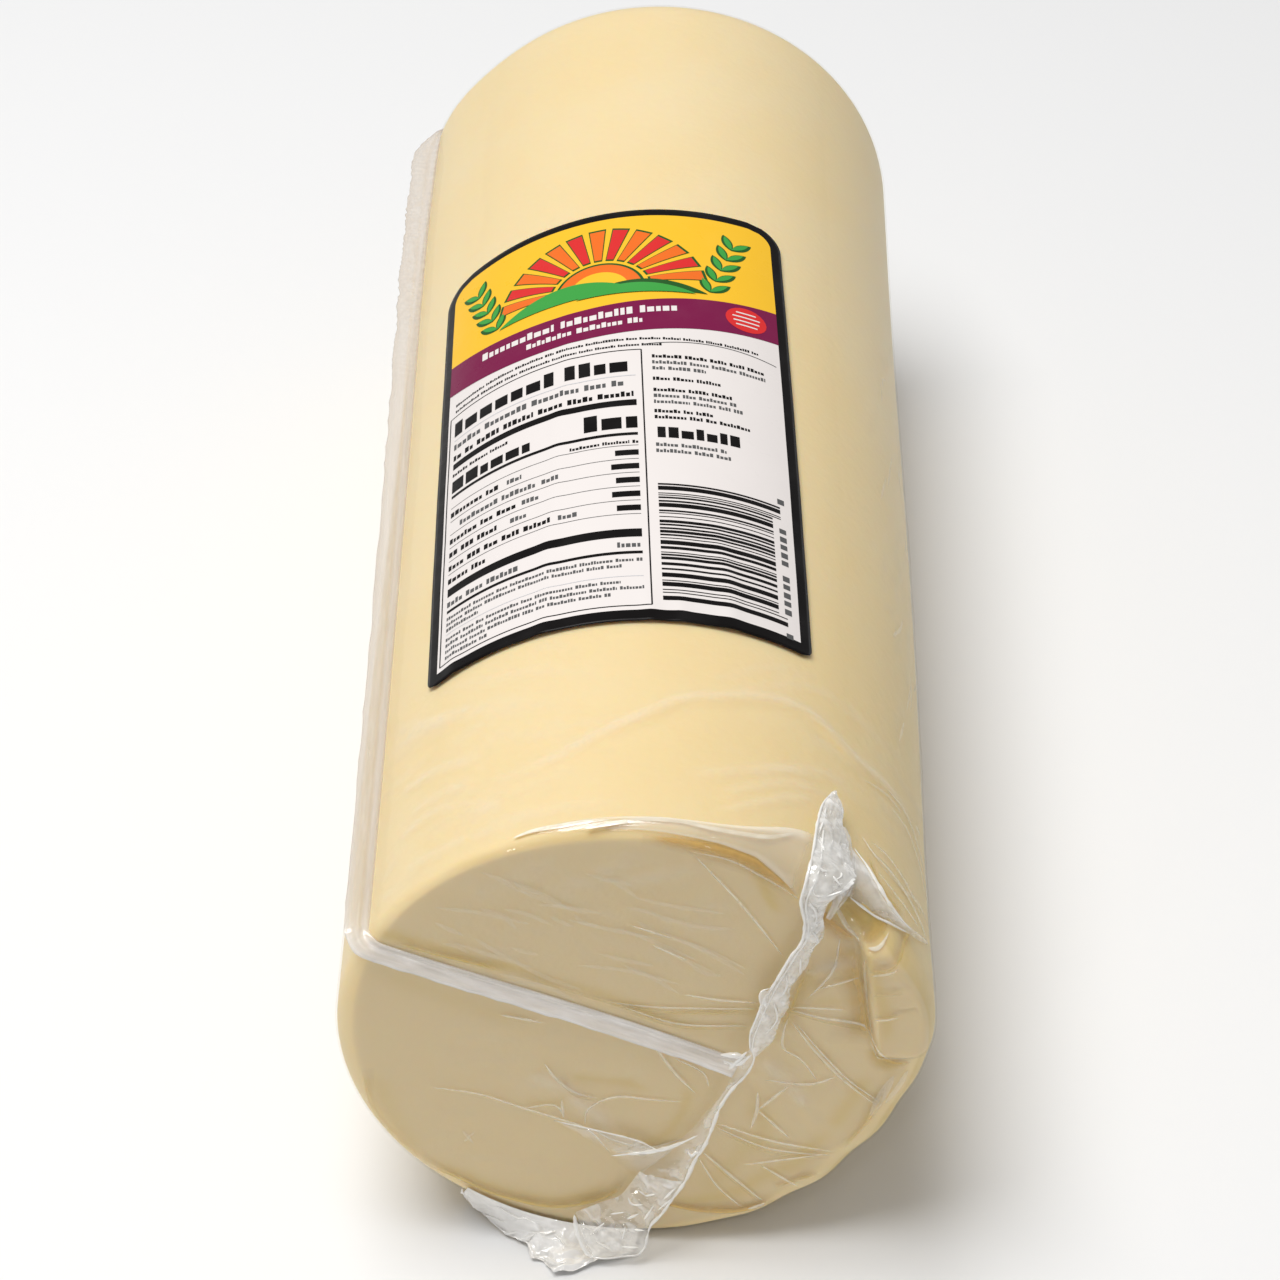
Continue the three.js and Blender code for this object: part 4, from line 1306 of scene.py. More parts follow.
@dataclass
class LongWeld:
    """The long fin weld: it stands along the left side, turns over the near rim and lies on the end."""

    finish: FilmFinish
    near_angle: float = -60.5
    far_angle: float = -70.0
    near_height: float = 5.2
    far_height: float = 6.5
    face_height: float = 4.6
    far_start: float = 173.0
    far_ramp: float = 26.0
    side_lean: float = 12.0
    face_lean: float = 74.0
    root_depth: float = 0.6
    end: tuple[float, float] = (24.0, -4.5)
    wall: float = 0.3
    along: int = 620
    across: int = 12
    side_share: float = 0.68
    turn_share: float = 0.06

    def build(self) -> None:
        """Builds and dresses the piece."""
        bm = bmesh.new()
        add_sheet(bm, self.along, self.across, self.carry)
        run, across = grid_shares(self.along, self.across)
        piece = film_piece("long_weld", bm, self.finish, self.milkiness(run, across))
        write_attribute(piece.data, "run", run * 560 * MM)
        write_attribute(piece.data, "side", across * 6 * MM)
        # painted shade: the weld standing on the side, edge-on and in shade, takes the darker shade colour;
        # on the end it stays pale
        write_attribute(piece.data, "pale", smooth((run - self.side_share + 0.02) * 20))
        thicken(piece, self.wall)

    def milkiness(self, run: Array, across: Array) -> Array:
        """How milky the weld is: most along its bead and its free edge, and sparkling at its far end."""
        places = stack(run * 560, across * 6, 0)
        bubbles = np.clip(crumple(places, 2.6, 5.0), 0, 1) * smooth((0.3 - run) * 8)
        streaks = np.clip(crumple(places * (0.05, 1, 1), 1.3, 15.0), 0, 1)
        edge = 0.55 * bell(across - 0.93, 0.1) + 0.4 * bell(across - 0.3, 0.1)
        on_face = smooth((run - self.side_share) * 12)
        # less milky on the side, as part of its painted shade there
        return np.clip(0.3 + edge + 0.4 * bubbles + 0.3 * streaks, 0, 1) * mix(0.45, 1.0, on_face)

    def carry(self, s: Array, t: Array) -> Array:
        """A point of the weld, a share along it and a share from its root to its free edge."""
        near, far = math.radians(self.near_angle), math.radians(self.far_angle)
        rim = float(FORM.near_rim(np.array(near)))
        flat_radius = float(FORM.side_radius(np.array(near), np.array(-FORM.half_length))) - rim
        corner = np.array([math.sin(near), math.cos(near)])
        start = corner * flat_radius
        run = np.array(self.end) - start
        face_length = np.hypot(*run)
        run /= face_length
        past_side, past_rim = s >= self.side_share, s >= self.side_share + self.turn_share

        gone = s / self.side_share * (self.far_start + FORM.half_length - rim)
        y = self.far_start - gone
        share = (y + FORM.half_length) / (2 * FORM.half_length)
        angle = mix(near, far, smooth(share))
        into = np.clip(y - FORM.half_length + FORM.far_rim, 0, FORM.far_rim * 0.999)
        root = FORM.on_side(angle, y, np.sqrt(FORM.far_rim**2 - into**2) - FORM.far_rim)
        upright = stack(np.sin(angle), 0, np.cos(angle))
        flat = stack(-np.cos(angle), 0, np.sin(angle))
        height = mix(self.near_height, self.far_height, share) * smooth(gone / self.far_ramp + 0.15)
        lean = np.full(s.shape, math.radians(self.side_lean))

        turn = np.clip((s - self.side_share) / self.turn_share, 0, 1) * math.pi / 2
        r = flat_radius + rim * np.cos(turn)
        eased = smooth(turn / (math.pi / 2))
        rim_y = -FORM.half_length + rim * (1 - np.sin(turn))
        rim_root = stack(corner[0] * r, rim_y, FORM.axis_height + corner[1] * r)
        rim_up = stack(corner[0] * np.cos(turn), -np.sin(turn), corner[1] * np.cos(turn))
        rim_flat = unit(stack(mix(-corner[1], run[1], eased), 0, mix(corner[0], -run[0], eased)))

        face_length_share = 1 - self.side_share - self.turn_share
        face_share = np.clip((s - self.side_share - self.turn_share) / face_length_share, 0, 1)
        place = start + run * (face_share * face_length)[:, None]
        face_root = FORM.on_near_end(place[:, 0], place[:, 1])

        pick = (past_side.astype(int) + past_rim)[:, None]
        root = np.choose(pick, [root, rim_root, face_root])
        upright = np.choose(pick, [upright, rim_up, stack(0 * s, -1, 0)])
        flat = np.choose(pick, [flat, rim_flat, stack(run[1] + 0 * s, 0, -run[0])])
        near_height = mix(self.near_height, self.face_height, eased)
        height = np.choose(pick[:, 0], [height, near_height, np.full(s.shape, self.face_height)])
        turned = mix(math.radians(self.side_lean), math.radians(self.face_lean), eased)
        lean = np.choose(pick[:, 0], [lean, turned, np.full(s.shape, math.radians(self.face_lean))])
        out = upright * np.cos(lean)[:, None] + flat * np.sin(lean)[:, None]
        through = flat * np.cos(lean)[:, None] - upright * np.sin(lean)[:, None]

        length = s * 560
        where = np.stack([length, 6 * t, 0 * s], axis=1)
        crimped = smooth((0.3 - s) * 8)
        fine = crumple(where * (0.25, 0.8, 1), 3.0, 2.0) * 0.16 * smooth(2 * t)
        fine += crumple(where, 2.4, 6.0) * 0.22 * crimped * t
        wander = 0.5 * np.sin(length / 21) + 0.3 * np.sin(length / 8.3 + 1)
        bead = 0.5 * bell(t - 0.3, 0.11) + 0.35 * bell(t - 0.93, 0.08)
        slow = stack(length, 0 * s, 0 * s)
        ragged = 0.05 * crumple(slow, 14.0, 9.0) + 0.06 * crimped * crumple(slow, 3.6, 4.0)
        height = height * (1 + ragged * t) - 0.3
        aside = fine + bead + wander * 0.3 * t * smooth((0.7 - s) * 8)
        rise = mix(-self.root_depth, height, t)
        return root + out * rise[:, None] + through * aside[:, None]


SEAL_LEFT = (
    (42.7, -149.6, 120.6), (40.5, -154.9, 122.1), (39.2, -161.4, 122.6), (38.3, -169, 122.6),
    (37.2, -176.2, 123), (36.3, -179, 120.4), (35.7, -179.2, 117.6), (36.7, -178.6, 108.5),
    (36.2, -178.2, 103), (33.9, -178, 98.2), (32.6, -178, 94.8), (30.5, -178, 89.5), (28.9, -178, 85.7),
    (27.1, -177.9, 79.1), (25.8, -177.8, 73.3), (26, -177.8, 68.5),
)
SEAL_RIGHT = (
    (43.4, -149, 120), (45, -151.9, 118.8), (44.9, -157.6, 118.2), (45.9, -160.9, 116.6),
    (46.5, -166.2, 116), (45.6, -177.5, 118.6), (42.6, -178.4, 116.4), (40.6, -178, 111.6),
    (40.9, -177.4, 107), (40.9, -176.8, 103), (38.9, -176.7, 99.2), (37.6, -176.7, 94.1),
    (35.9, -176.7, 90.5), (34.5, -176.7, 87.4), (34, -176.7, 81.1), (32.3, -176.7, 76.8),
    (30.8, -176.7, 70.6), (27.6, -177.2, 66),
)
SEAL_FOOT = (
    (26.4, -178, 69.5), (27.1, -177.9, 66.6), (26, -177.8, 62), (21.9, -177.8, 55), (19.8, -177.8, 49.9),
    (18.4, -177.8, 44.1), (16.5, -177.8, 37), (14.4, -178, 32.2), (12.3, -178.6, 25.8),
    (9.2, -179.2, 19.8), (6.8, -179.8, 15.2), (4.5, -180.4, 12.3), (3.8, -180.8, 9.2), (3.2, -181, 5.4),
    (1.6, -181.6, 3.2), (-2.2, -181.9, 2.6), (-5.9, -182.6, 2.6), (-8.9, -182.6, 2.8),
)
SEAL_FOOT_LEFT = (
    (23.5, -177.2, 66), (21.8, -177, 58.7), (20.2, -176.8, 53.2), (17.2, -176.6, 47.9),
    (13.6, -176.5, 41.2), (9.6, -176.5, 35.4), (5.4, -176.5, 29.6), (1.8, -176.6, 26.4),
    (-0.5, -176.8, 22.1), (-2.8, -177, 18.4), (-5.8, -177.2, 16.8), (-9.5, -177.4, 15),
    (-13.2, -177.6, 12.8),
)
WEB_UPPER = (
    (-17.8, -175.6, 42), (-7.4, -175.7, 38.9), (1.7, -175.8, 35.8), (7, -175.9, 32.9), (10.4, -176, 34.7),
)
WEB_LOWER = (
    (-17.8, -175.9, 42.3), (-10.8, -176, 36.4), (-4.9, -176.1, 30.4), (-1.7, -176.2, 26.4),
    (0.8, -176.3, 24.1),
)
WEB_CREASE = (
    (-4.9, -177, 31.8), (-0.5, -177.6, 33.3), (6.3, -178, 35.3), (10.6, -178.4, 37.9), (15, -178.4, 41),
)
WEB_KNOT = ((12.6, -179, 36.4), (13.6, -179.2, 34.8), (14.6, -179.2, 36.2), (15.6, -179, 35))
FOOT_END = ((-13.4, -178.4, 13), (-12.4, -180.6, 8.4), (-10.4, -182.6, 4.6), (-8.9, -183.2, 3.2))
BAND_GLINTS = (
    # painted highlight glints along the folds of the dog-ear and the band: shares along it and across it
    ((0.03, 0.5), (0.05, 0.75)),
    ((0.045, 0.35), (0.1, 0.42)),
    ((0.08, 0.7), (0.15, 0.55)),
    ((0.06, 0.15), (0.12, 0.2), (0.18, 0.1)),
    ((0.16, 0.45), (0.19, 0.64), (0.235, 0.58)),
    ((0.22, 0.78), (0.27, 0.92)),
    ((0.11, 0.25), (0.17, 0.5), (0.22, 0.38), (0.27, 0.5)),
    ((0.14, 0.8), (0.2, 0.66), (0.25, 0.84)),
    ((0.2, 0.15), (0.24, 0.34)),
    ((0.26, 0.5), (0.3, 0.72), (0.33, 0.6)),
    ((0.29, 0.12), (0.31, 0.3), (0.295, 0.48)),
    ((0.31, 0.5), (0.34, 0.82)),
    ((0.36, 0.2), (0.385, 0.42), (0.38, 0.7), (0.35, 0.95)),
    ((0.41, 0.3), (0.45, 0.7), (0.5, 0.55)),
    ((0.52, 0.35), (0.56, 0.85), (0.6, 0.7)),
    ((0.62, 0.5), (0.68, 0.9)),
    ((0.7, 0.35), (0.73, 0.7), (0.78, 0.6)),
    ((0.8, 0.4), (0.86, 0.85), (0.92, 0.6)),
)
FOOT_GLINTS = (
    # painted highlight glints along the folds of the crumpled foot, in the same shares
    ((0.06, 0.12), (0.2, 0.2)),
    ((0.16, 0.05), (0.3, 0.16)),
    ((0.18, 0.42), (0.25, 0.6)),
    ((0.24, 0.6), (0.22, 0.82)),
    ((0.28, 0.3), (0.44, 0.24)),
    ((0.33, 0.5), (0.4, 0.72), (0.36, 0.9)),
    ((0.42, 0.42), (0.56, 0.56)),
    ((0.5, 0.12), (0.58, 0.34)),
    ((0.52, 0.68), (0.66, 0.8)),
    ((0.62, 0.5), (0.72, 0.36)),
    ((0.66, 0.1), (0.78, 0.24)),
    ((0.76, 0.7), (0.9, 0.6)),
    ((0.84, 0.2), (0.92, 0.42)),
)
SEAL_EAR = (
    (44.9, -157.6, 118), (45.7, -162, 116), (45.6, -168, 115.2), (43.5, -173.5, 113.2),
    (41.4, -176.6, 108.6),
)
RIBBON_TOP = (
    (47.2, -159.3, 113), (48.4, -160.6, 112), (49.9, -162.2, 110.8), (52.2, -165.3, 108.6),
    (55.5, -168.7, 104.4), (60.8, -168.6, 96.4),
)
RIBBON_FOOT = (
    (43.6, -174.5, 112), (46.2, -171.6, 110.4), (49, -171.4, 107.4), (52, -171.8, 104.9),
    (54.9, -171.5, 102.8), (60.2, -169.2, 97),
)
FLAP = ((30.6, -178.2, 88.9), (29.6, -178.4, 86.2), (29.4, -178.2, 83.8))
FLAP_EDGE = ((28.2, -179.2, 88.7), (27.8, -179.4, 85.9), (28.7, -179, 83.7))
EAR_SIDE = (
    (46, -158.5, 116), (47.2, -161, 114.2), (48.2, -164.8, 112.2), (46.6, -171.2, 110.6),
    (42.4, -176.2, 107.6),
)

OUT_OF_EAR = (0.55, -0.6, 0.6)
BAND_WEBS = (
    # the band from the dog-ear to the web in three layers, the foot, the ribbon, the ear's side and a flap
    Web(SEAL_LEFT, SEAL_RIGHT, 300, 18, 0.8, 0.6, 2.8, 0.06, 1, (0.72, 0.48)),
    Web(SEAL_LEFT[:9], SEAL_RIGHT[:9], 150, 16, 0.3, 0.6, 2.4, 0.05, 9, (1, 0.95)),
    Web(SEAL_LEFT, SEAL_RIGHT, 220, 14, -0.5, 0.3, 3.4, 0.05, 5, (0.35, 0.2)),
    Web(SEAL_FOOT[:10], SEAL_FOOT_LEFT[:9], 170, 40, 0.8, 0.4, 4.2, 0, 2, (0.32, 0.02)),
    Web(SEAL_FOOT[8:], SEAL_FOOT_LEFT[7:], 130, 90, 1.2, 0.8, 4.6, 0, 12, (0.5, 0.25)),
    Web(RIBBON_TOP, RIBBON_FOOT, 80, 20, 1.7, 0.35, 4, 0, 8, (0.7, 0.35), OUT_OF_EAR),
    Web(SEAL_EAR, EAR_SIDE, 60, 14, 0.5, 0.4, 3.5, 0, 18, (0.55, 0.3), OUT_OF_EAR),
    Web(FLAP, FLAP_EDGE, 20, 8, 0.3, 0.3, 2, 0, 3, (0.4, 1)),
)


def on_band(mark: Line) -> Path:
    """A line on the front of the band, given by shares along it and across it."""
    s, t = np.array(mark).T
    points = mix(spline(SEAL_LEFT, s), spline(SEAL_RIGHT, s), t[:, None]) + np.array((0, -0.9, 0.4)) * 0.9
    return tuple(tuple(point) for point in points)


def on_foot(mark: Line) -> Path:
    """A line on the front of the crumpled foot, given by shares along it and across it."""
    s, t = np.array(mark).T
    right, left = spline(SEAL_FOOT[8:], s), spline(SEAL_FOOT_LEFT[7:], s)
    points = mix(right, left, t[:, None]) + np.array((0, -0.9, 0.5)) * 1.7
    return tuple(tuple(point) for point in points)


@dataclass
class EndSeal:
    """The gathered seal of the near end, from the dog-ear on the rim down to the floor."""

    band_finish: FilmFinish
    bead_and_glint_finish: FilmFinish
    web_finish: FilmFinish

    def build(self) -> None:
        """Builds and dresses the pieces."""
        self.dress("end_seal_band", self.band_finish, BAND_WEBS)
        web = Web(WEB_UPPER, WEB_LOWER, 90, 20, 0.3, 0.3, 4.5, seed=6, milky=(0.6, 0))
        self.dress("end_seal_web", self.web_finish, (web,))
        beads = (
            Bead(shifted(SEAL_LEFT, 0.1, -0.35, 0.1), 0.9, 0.5, 0.3),
            Bead(between(SEAL_LEFT, SEAL_RIGHT, 0.22, 0.6), 0.6, 0.4, 0.3),
            *(Bead(on_band(mark), 0.6, 0.45, 0.6) for mark in BAND_GLINTS),
            Bead(shifted(SEAL_FOOT[:14], -0.1, -0.4, 0.2), 1, 0.5, 0.25),
            Bead(SEAL_FOOT[12:], 0.7, 0.35, 0.3),
            Bead(((19.4, -177.6, 66.6), (22.4, -178.4, 67.4), (25.6, -178.5, 67)), 1.5, 0.8, 0.5),
            Bead(((19.9, -177.4, 64.8), (22.9, -178.6, 64.9), (26.4, -178.6, 67.8)), 1.5, 0.8, 0.5),
            Bead(((21.4, -177.2, 61.6), (22.3, -178.4, 64.2), (25.4, -178.7, 69)), 1.4, 0.8, 0.5),
            Bead(((30.2, -178.6, 89), *FLAP_EDGE, (29.4, -178.4, 84)), 0.5, 0.4, 0.4),
            Bead(shifted(RIBBON_TOP, 0.3, -0.3, 0.5), 0.9, 0.4, 0.4, OUT_OF_EAR),
            Bead(shifted(RIBBON_FOOT[1:], 0.2, -0.5, 0.3), 0.7, 0.35, 0.4, OUT_OF_EAR),
            Bead(shifted(WEB_UPPER, 0, -0.2, 0), 0.5, 0.25, 0.5),
            Bead(WEB_CREASE, 1, 0.5, 0.5),
            Bead(WEB_KNOT, 1, 0.6, 0.6),
            Bead(((12.6, -177.2, 30.6), (14.8, -177.8, 34.4), (17.6, -178, 38.4)), 0.8, 0.4, 0.6),
            *(Bead(on_foot(mark), 0.6, 0.5, 0.6) for mark in FOOT_GLINTS),
            Bead(FOOT_END, 1.5, 0.7, 0.4),
        )
        bm = bmesh.new()
        for bead in beads:
            bead.add_to(bm)
        film_piece("end_seal_beads_and_glints", bm, self.bead_and_glint_finish)

    def dress(self, name: str, finish: FilmFinish, webs: tuple[Web, ...]) -> None:
        """Makes one of its pieces of its sheets."""
        bm = bmesh.new()
        film_piece(name, bm, finish, np.concatenate([web.add_to(bm) for web in webs]))


@dataclass
class RimTent:
    """The film drawn like a tent over the top right of the rim."""

    finish: FilmFinish
    edge: Line = (
        # degrees round the rim, and the radius of the tent's lower edge on the near end
        (-14, 66.2),
        (-5, 65.8),
        (5, 65.5),
        (10.6, 65.2),
        (17, 64.8),
        (24, 63.7),
        (28.7, 61.8),
        (36.5, 59.0),
    )
    along: int = 170
    across: int = 24

    def build(self) -> None:
        """Builds and dresses the piece."""
        tent = bmesh.new()
        add_sheet(tent, self.along, self.across, self.carry)
        run, across = grid_shares(self.along, self.across)
        ends = smooth(3 * run) * smooth(12 * (1 - run))
        # painted highlight: the band of milk near the tent's upper edge stands for the highlight along the
        # top of the rim
        milky = 0.45 + 0.55 * bell(across - 0.1, 0.13) + 0.3 * bell(across - 0.95, 0.08)
        film_piece("rim_tent", tent, self.finish, milky * ends)

    def carry(self, s: Array, t: Array) -> Array:
        """A point of the tent, round the rim and down over it."""
        edge = np.array(self.edge)
        degrees = mix(edge[0, 0], edge[-1, 0], s)
        lower = np.interp(degrees, edge[:, 0], edge[:, 1])
        angle = np.radians(degrees)
        rim = FORM.near_rim(angle)
        side = FORM.side_radius(angle, -FORM.half_length)
        turn = t * np.arccos(np.clip((lower - side + rim) / rim, 0, 1))
        off = 0.2 + 0.9 * np.sin(np.pi * t) * smooth(1.6 * s)
        r = side - rim + (rim + off) * np.cos(turn)
        y = -FORM.half_length + rim - (rim + off) * np.sin(turn)
        return stack(r * np.sin(angle), y, FORM.axis_height + r * np.cos(angle))


@dataclass
class Tail:
    """The ragged tail at the foot of the end seal."""

    finish: FilmFinish
    bead_and_glint_finish: FilmFinish
    edge: Line = (
        (-43.5, -159.8),
        (-38.2, -164.9),
        (-34.3, -170.0),
        (-30.1, -174.2),
        (-24.6, -177.4),
        (-23.4, -181.6),
        (-20.4, -182.1),
        (-17.9, -185.9),
        (-13.5, -185.2),
        (-9.2, -182.7),
        (-4.8, -181.4),
        (0.2, -180.0),
    )
    root_left: float = 219.0
    root_right: float = 178.5
    root_radius: float = 60.5
    floor_gap: float = 1.6
    depth: float = 1.9
    along: int = 190
    across: int = 76

    def build(self) -> None:
        """Builds and dresses the pieces."""
        bm = bmesh.new()
        add_sheet(bm, self.along, self.across, self.carry)
        run, across = grid_shares(self.along, self.across)
        milky = mix(0.45, 0.8, smooth((run - 0.35) * 4)) + 0.3 * bell(across - 0.96, 0.06)
        patches = 0.5 + 0.5 * creased(stack(run * 60, across * 26, 0), 11.0, 4)
        # painted highlight along the crests of the tail's folds
        crest_highlight = smooth((self.folds(run, across) - 0.3) * 2)
        milky = milky * (0.55 + 0.6 * np.clip(patches, 0, 1)) + 0.3 * crest_highlight
        film_piece("tail", bm, self.finish, np.clip(milky, 0, 1))
        beads = bmesh.new()
        # painted highlight glints along the tail's folds
        for start, end, width in (
            ((0.52, 0.9), (0.7, 0.84), 1.5),
            ((0.4, 0.95), (0.48, 0.55), 1.0),
            ((0.43, 0.6), (0.57, 0.2), 0.8),
            ((0.2, 0.12), (0.44, 0.3), 0.7),
            ((0.16, 0.75), (0.3, 0.5), 0.9),
            ((0.56, 0.3), (0.66, 0.45), 0.7),
            ((0.3, 0.9), (0.38, 0.6), 0.8),
        ):
            share = np.linspace(0, 1, 9)
            s, t = mix(start[0], end[0], share), mix(start[1], end[1], share)
            points = self.carry(s, t) + np.array((0, -0.25, 0.25))
            Bead(tuple(tuple(point) for point in points), width, 0.45, 0.7, (0, -0.6, 0.8)).add_to(beads)
        film_piece("tail_glints", beads, self.bead_and_glint_finish)

    def carry(self, s: Array, t: Array) -> Array:
        """A point of the tail, along its edge and from its root to that edge."""
        edge = np.array(self.edge)
        at = np.concatenate([[0.0], np.cumsum(np.linalg.norm(np.diff(edge, axis=0), axis=1))])
        toe = np.stack([np.interp(s * at[-1], at, edge[:, k]) for k in (0, 1)], axis=1)
        angle = np.radians(mix(self.root_left, self.root_right, s))
        root = FORM.on_near_end(np.sin(angle) * self.root_radius, np.cos(angle) * self.root_radius, 0.5)
        folds = self.folds(s, t)
        t = t * (1 + 0.03 * crumple(stack(s * 60, 0, 0), 2.5, 6.0)) * mix(0.45, 1.0, smooth(s * 9))
        bend = np.sin(np.clip(t, 0, 1) * np.pi / 2)
        x, y = mix(root[:, 0], toe[:, 0], t), mix(root[:, 1], toe[:, 1], t)
        z = mix(root[:, 2], self.floor_gap, bend) + self.depth * folds * smooth(3 * t) * (1 - 0.3 * t)
        return stack(x, y, np.maximum(z, 0.15))

    def folds(self, s: Array, t: Array) -> Array:
        """The height of its folds, from -1 to 1 or so."""
        places = stack(s * 60, t * 26, 0)
        return creased(places, 7.5, 14) + 0.4 * creased(places, 3.0, 21)


@dataclass
class FarSeal:
    """The seal of the far end, a band lying flat across it."""

    finish: FilmFinish
    tilt: float = 24.0
    half_length: float = 60.0
    width: float = 8.0
    lift: float = 1.2

    def build(self) -> None:
        """Builds and dresses the piece."""
        bm = bmesh.new()
        add_sheet(bm, 220, 16, self.carry)
        piece = film_piece("far_seal", bm, self.finish, 0.8)
        thicken(piece, 0.3)

    def carry(self, s: Array, t: Array) -> Array:
        """A point of the band."""
        tilt = math.radians(self.tilt)
        gone = mix(-1, 1, s) * self.half_length
        places = np.stack([gone, t * self.width, 0 * s], axis=1)
        across = (t - 0.5) * self.width * (1 + 0.08 * crumple(places * (1, 0, 0), 4, 2.0))
        lift = self.lift * np.sin(np.pi * t) ** 0.5 + 0.3 * crumple(places, 2.8, 5.0)
        x = math.sin(tilt) * gone + math.cos(tilt) * across
        z = math.cos(tilt) * gone - math.sin(tilt) * across
        return FORM.on_far_end(x, z, np.maximum(lift, 0.2))


# ---- The label ------------------------------------------------------------------------------


class Ink(Enum):
    """The label's printing inks, in the order of its material slots."""

    BLACK = (0.005, 0.004, 0.004)
    WHITE = (0.785, 0.735, 0.71)
    YELLOW = (0.90, 0.52, 0.03)
    BURGUNDY = (0.19, 0.010, 0.062)
    ORANGE = (0.82, 0.16, 0.02)
    RED = (0.68, 0.03, 0.03)
    GREEN = (0.05, 0.34, 0.06)
    LEAF = (0.02, 0.10, 0.02)
    GREY = (0.10, 0.10, 0.10)
    PALE = (0.58, 0.58, 0.60)

    @property
    def slot(self) -> int:
        """Its place among the label's materials."""
        return list(Ink).index(self)


def block(left: float, right: float, bottom: float, top: float) -> Shape:
    """A rectangle of the flat label."""
    return band(left, right, bottom, top, 0)


def hill(x: float, y: float, half_width: float, height: float) -> Shape:
    """A low round hill of the flat label, on a level foot."""

    def shape(s: Array, t: Array) -> tuple[Array, Array]:
        """A point of it."""
        return x + half_width * (2 * s - 1), y + height * t * (1 - (2 * s - 1) ** 2)

    return shape


def ray(x: float, y: float, near: float, far: float, turn: float, width: float) -> Shape:
    """A ray of the flat label that widens away from a centre, in a direction in degrees."""

    def shape(s: Array, t: Array) -> tuple[Array, Array]:
        """A point of it."""
        reach = mix(near, far, t)
        aside = (s - 0.5) * width * mix(0.45, 1.0, t)
        c, d = math.cos(math.radians(turn)), math.sin(math.radians(turn))
        return x + reach * c - aside * d, y + reach * d + aside * c

    return shape


def oval(
    x: float, y: float, half_width: float, half_height: float, start: float = 0, end: float = 360
) -> Shape:
    """An ellipse of the flat label, or a sector of one between two angles in degrees."""

    def shape(s: Array, t: Array) -> tuple[Array, Array]:
        """A point of it."""
        turn = np.radians(mix(start, end, s))
        return x + half_width * t * np.cos(turn), y + half_height * t * np.sin(turn)

    return shape


def leaf(x: float, y: float, length: float, width: float, turn: float) -> Shape:
    """A pointed leaf of the flat label, from its foot along a direction in degrees."""

    def shape(s: Array, t: Array) -> tuple[Array, Array]:
        """A point of it."""
        along, across = s * length, (t - 0.5) * width * np.sin(np.pi * s) ** 0.8
        c, d = math.cos(math.radians(turn)), math.sin(math.radians(turn))
        return x + along * c - across * d, y + along * d + across * c

    return shape


def band(left: float, right: float, bottom: float, top: float, sag: float) -> Shape:
    """A strip of the flat label whose middle hangs lower than its ends, or higher."""

    def shape(s: Array, t: Array) -> tuple[Array, Array]:
        """A point of it."""
        return mix(left, right, s), mix(bottom, top, t) - sag * (1 - (2 * s - 1) ** 2)

    return shape


def sway(x: Array) -> Array:
    """The middle of the label's ribbon, which bends a little."""
    return 34.5 + 4.0 * (x / 43) ** 2 + 1.2 * np.sin(x / 16)


def on_ribbon(low: float, high: float, half: float) -> Shape:
    """A strip that follows the ribbon, between two heights over its middle and as far as half each way."""

    def shape(s: Array, t: Array) -> tuple[Array, Array]:
        """A point of it."""
        x = mix(-half, half, s)
        return x, sway(x) + mix(low, high, t)

    return shape


def letter(left: float, wide: float, base: float, high: float, bent: bool) -> Shape:
    """A small block on a level line, or on one that bends like the ribbon."""

    def shape(s: Array, t: Array) -> tuple[Array, Array]:
        """A point of it."""
        x = mix(left, left + wide, s)
        return x, base + high * t + (sway(x) - sway(np.array(0.0)) if bent else 0.0)

    return shape


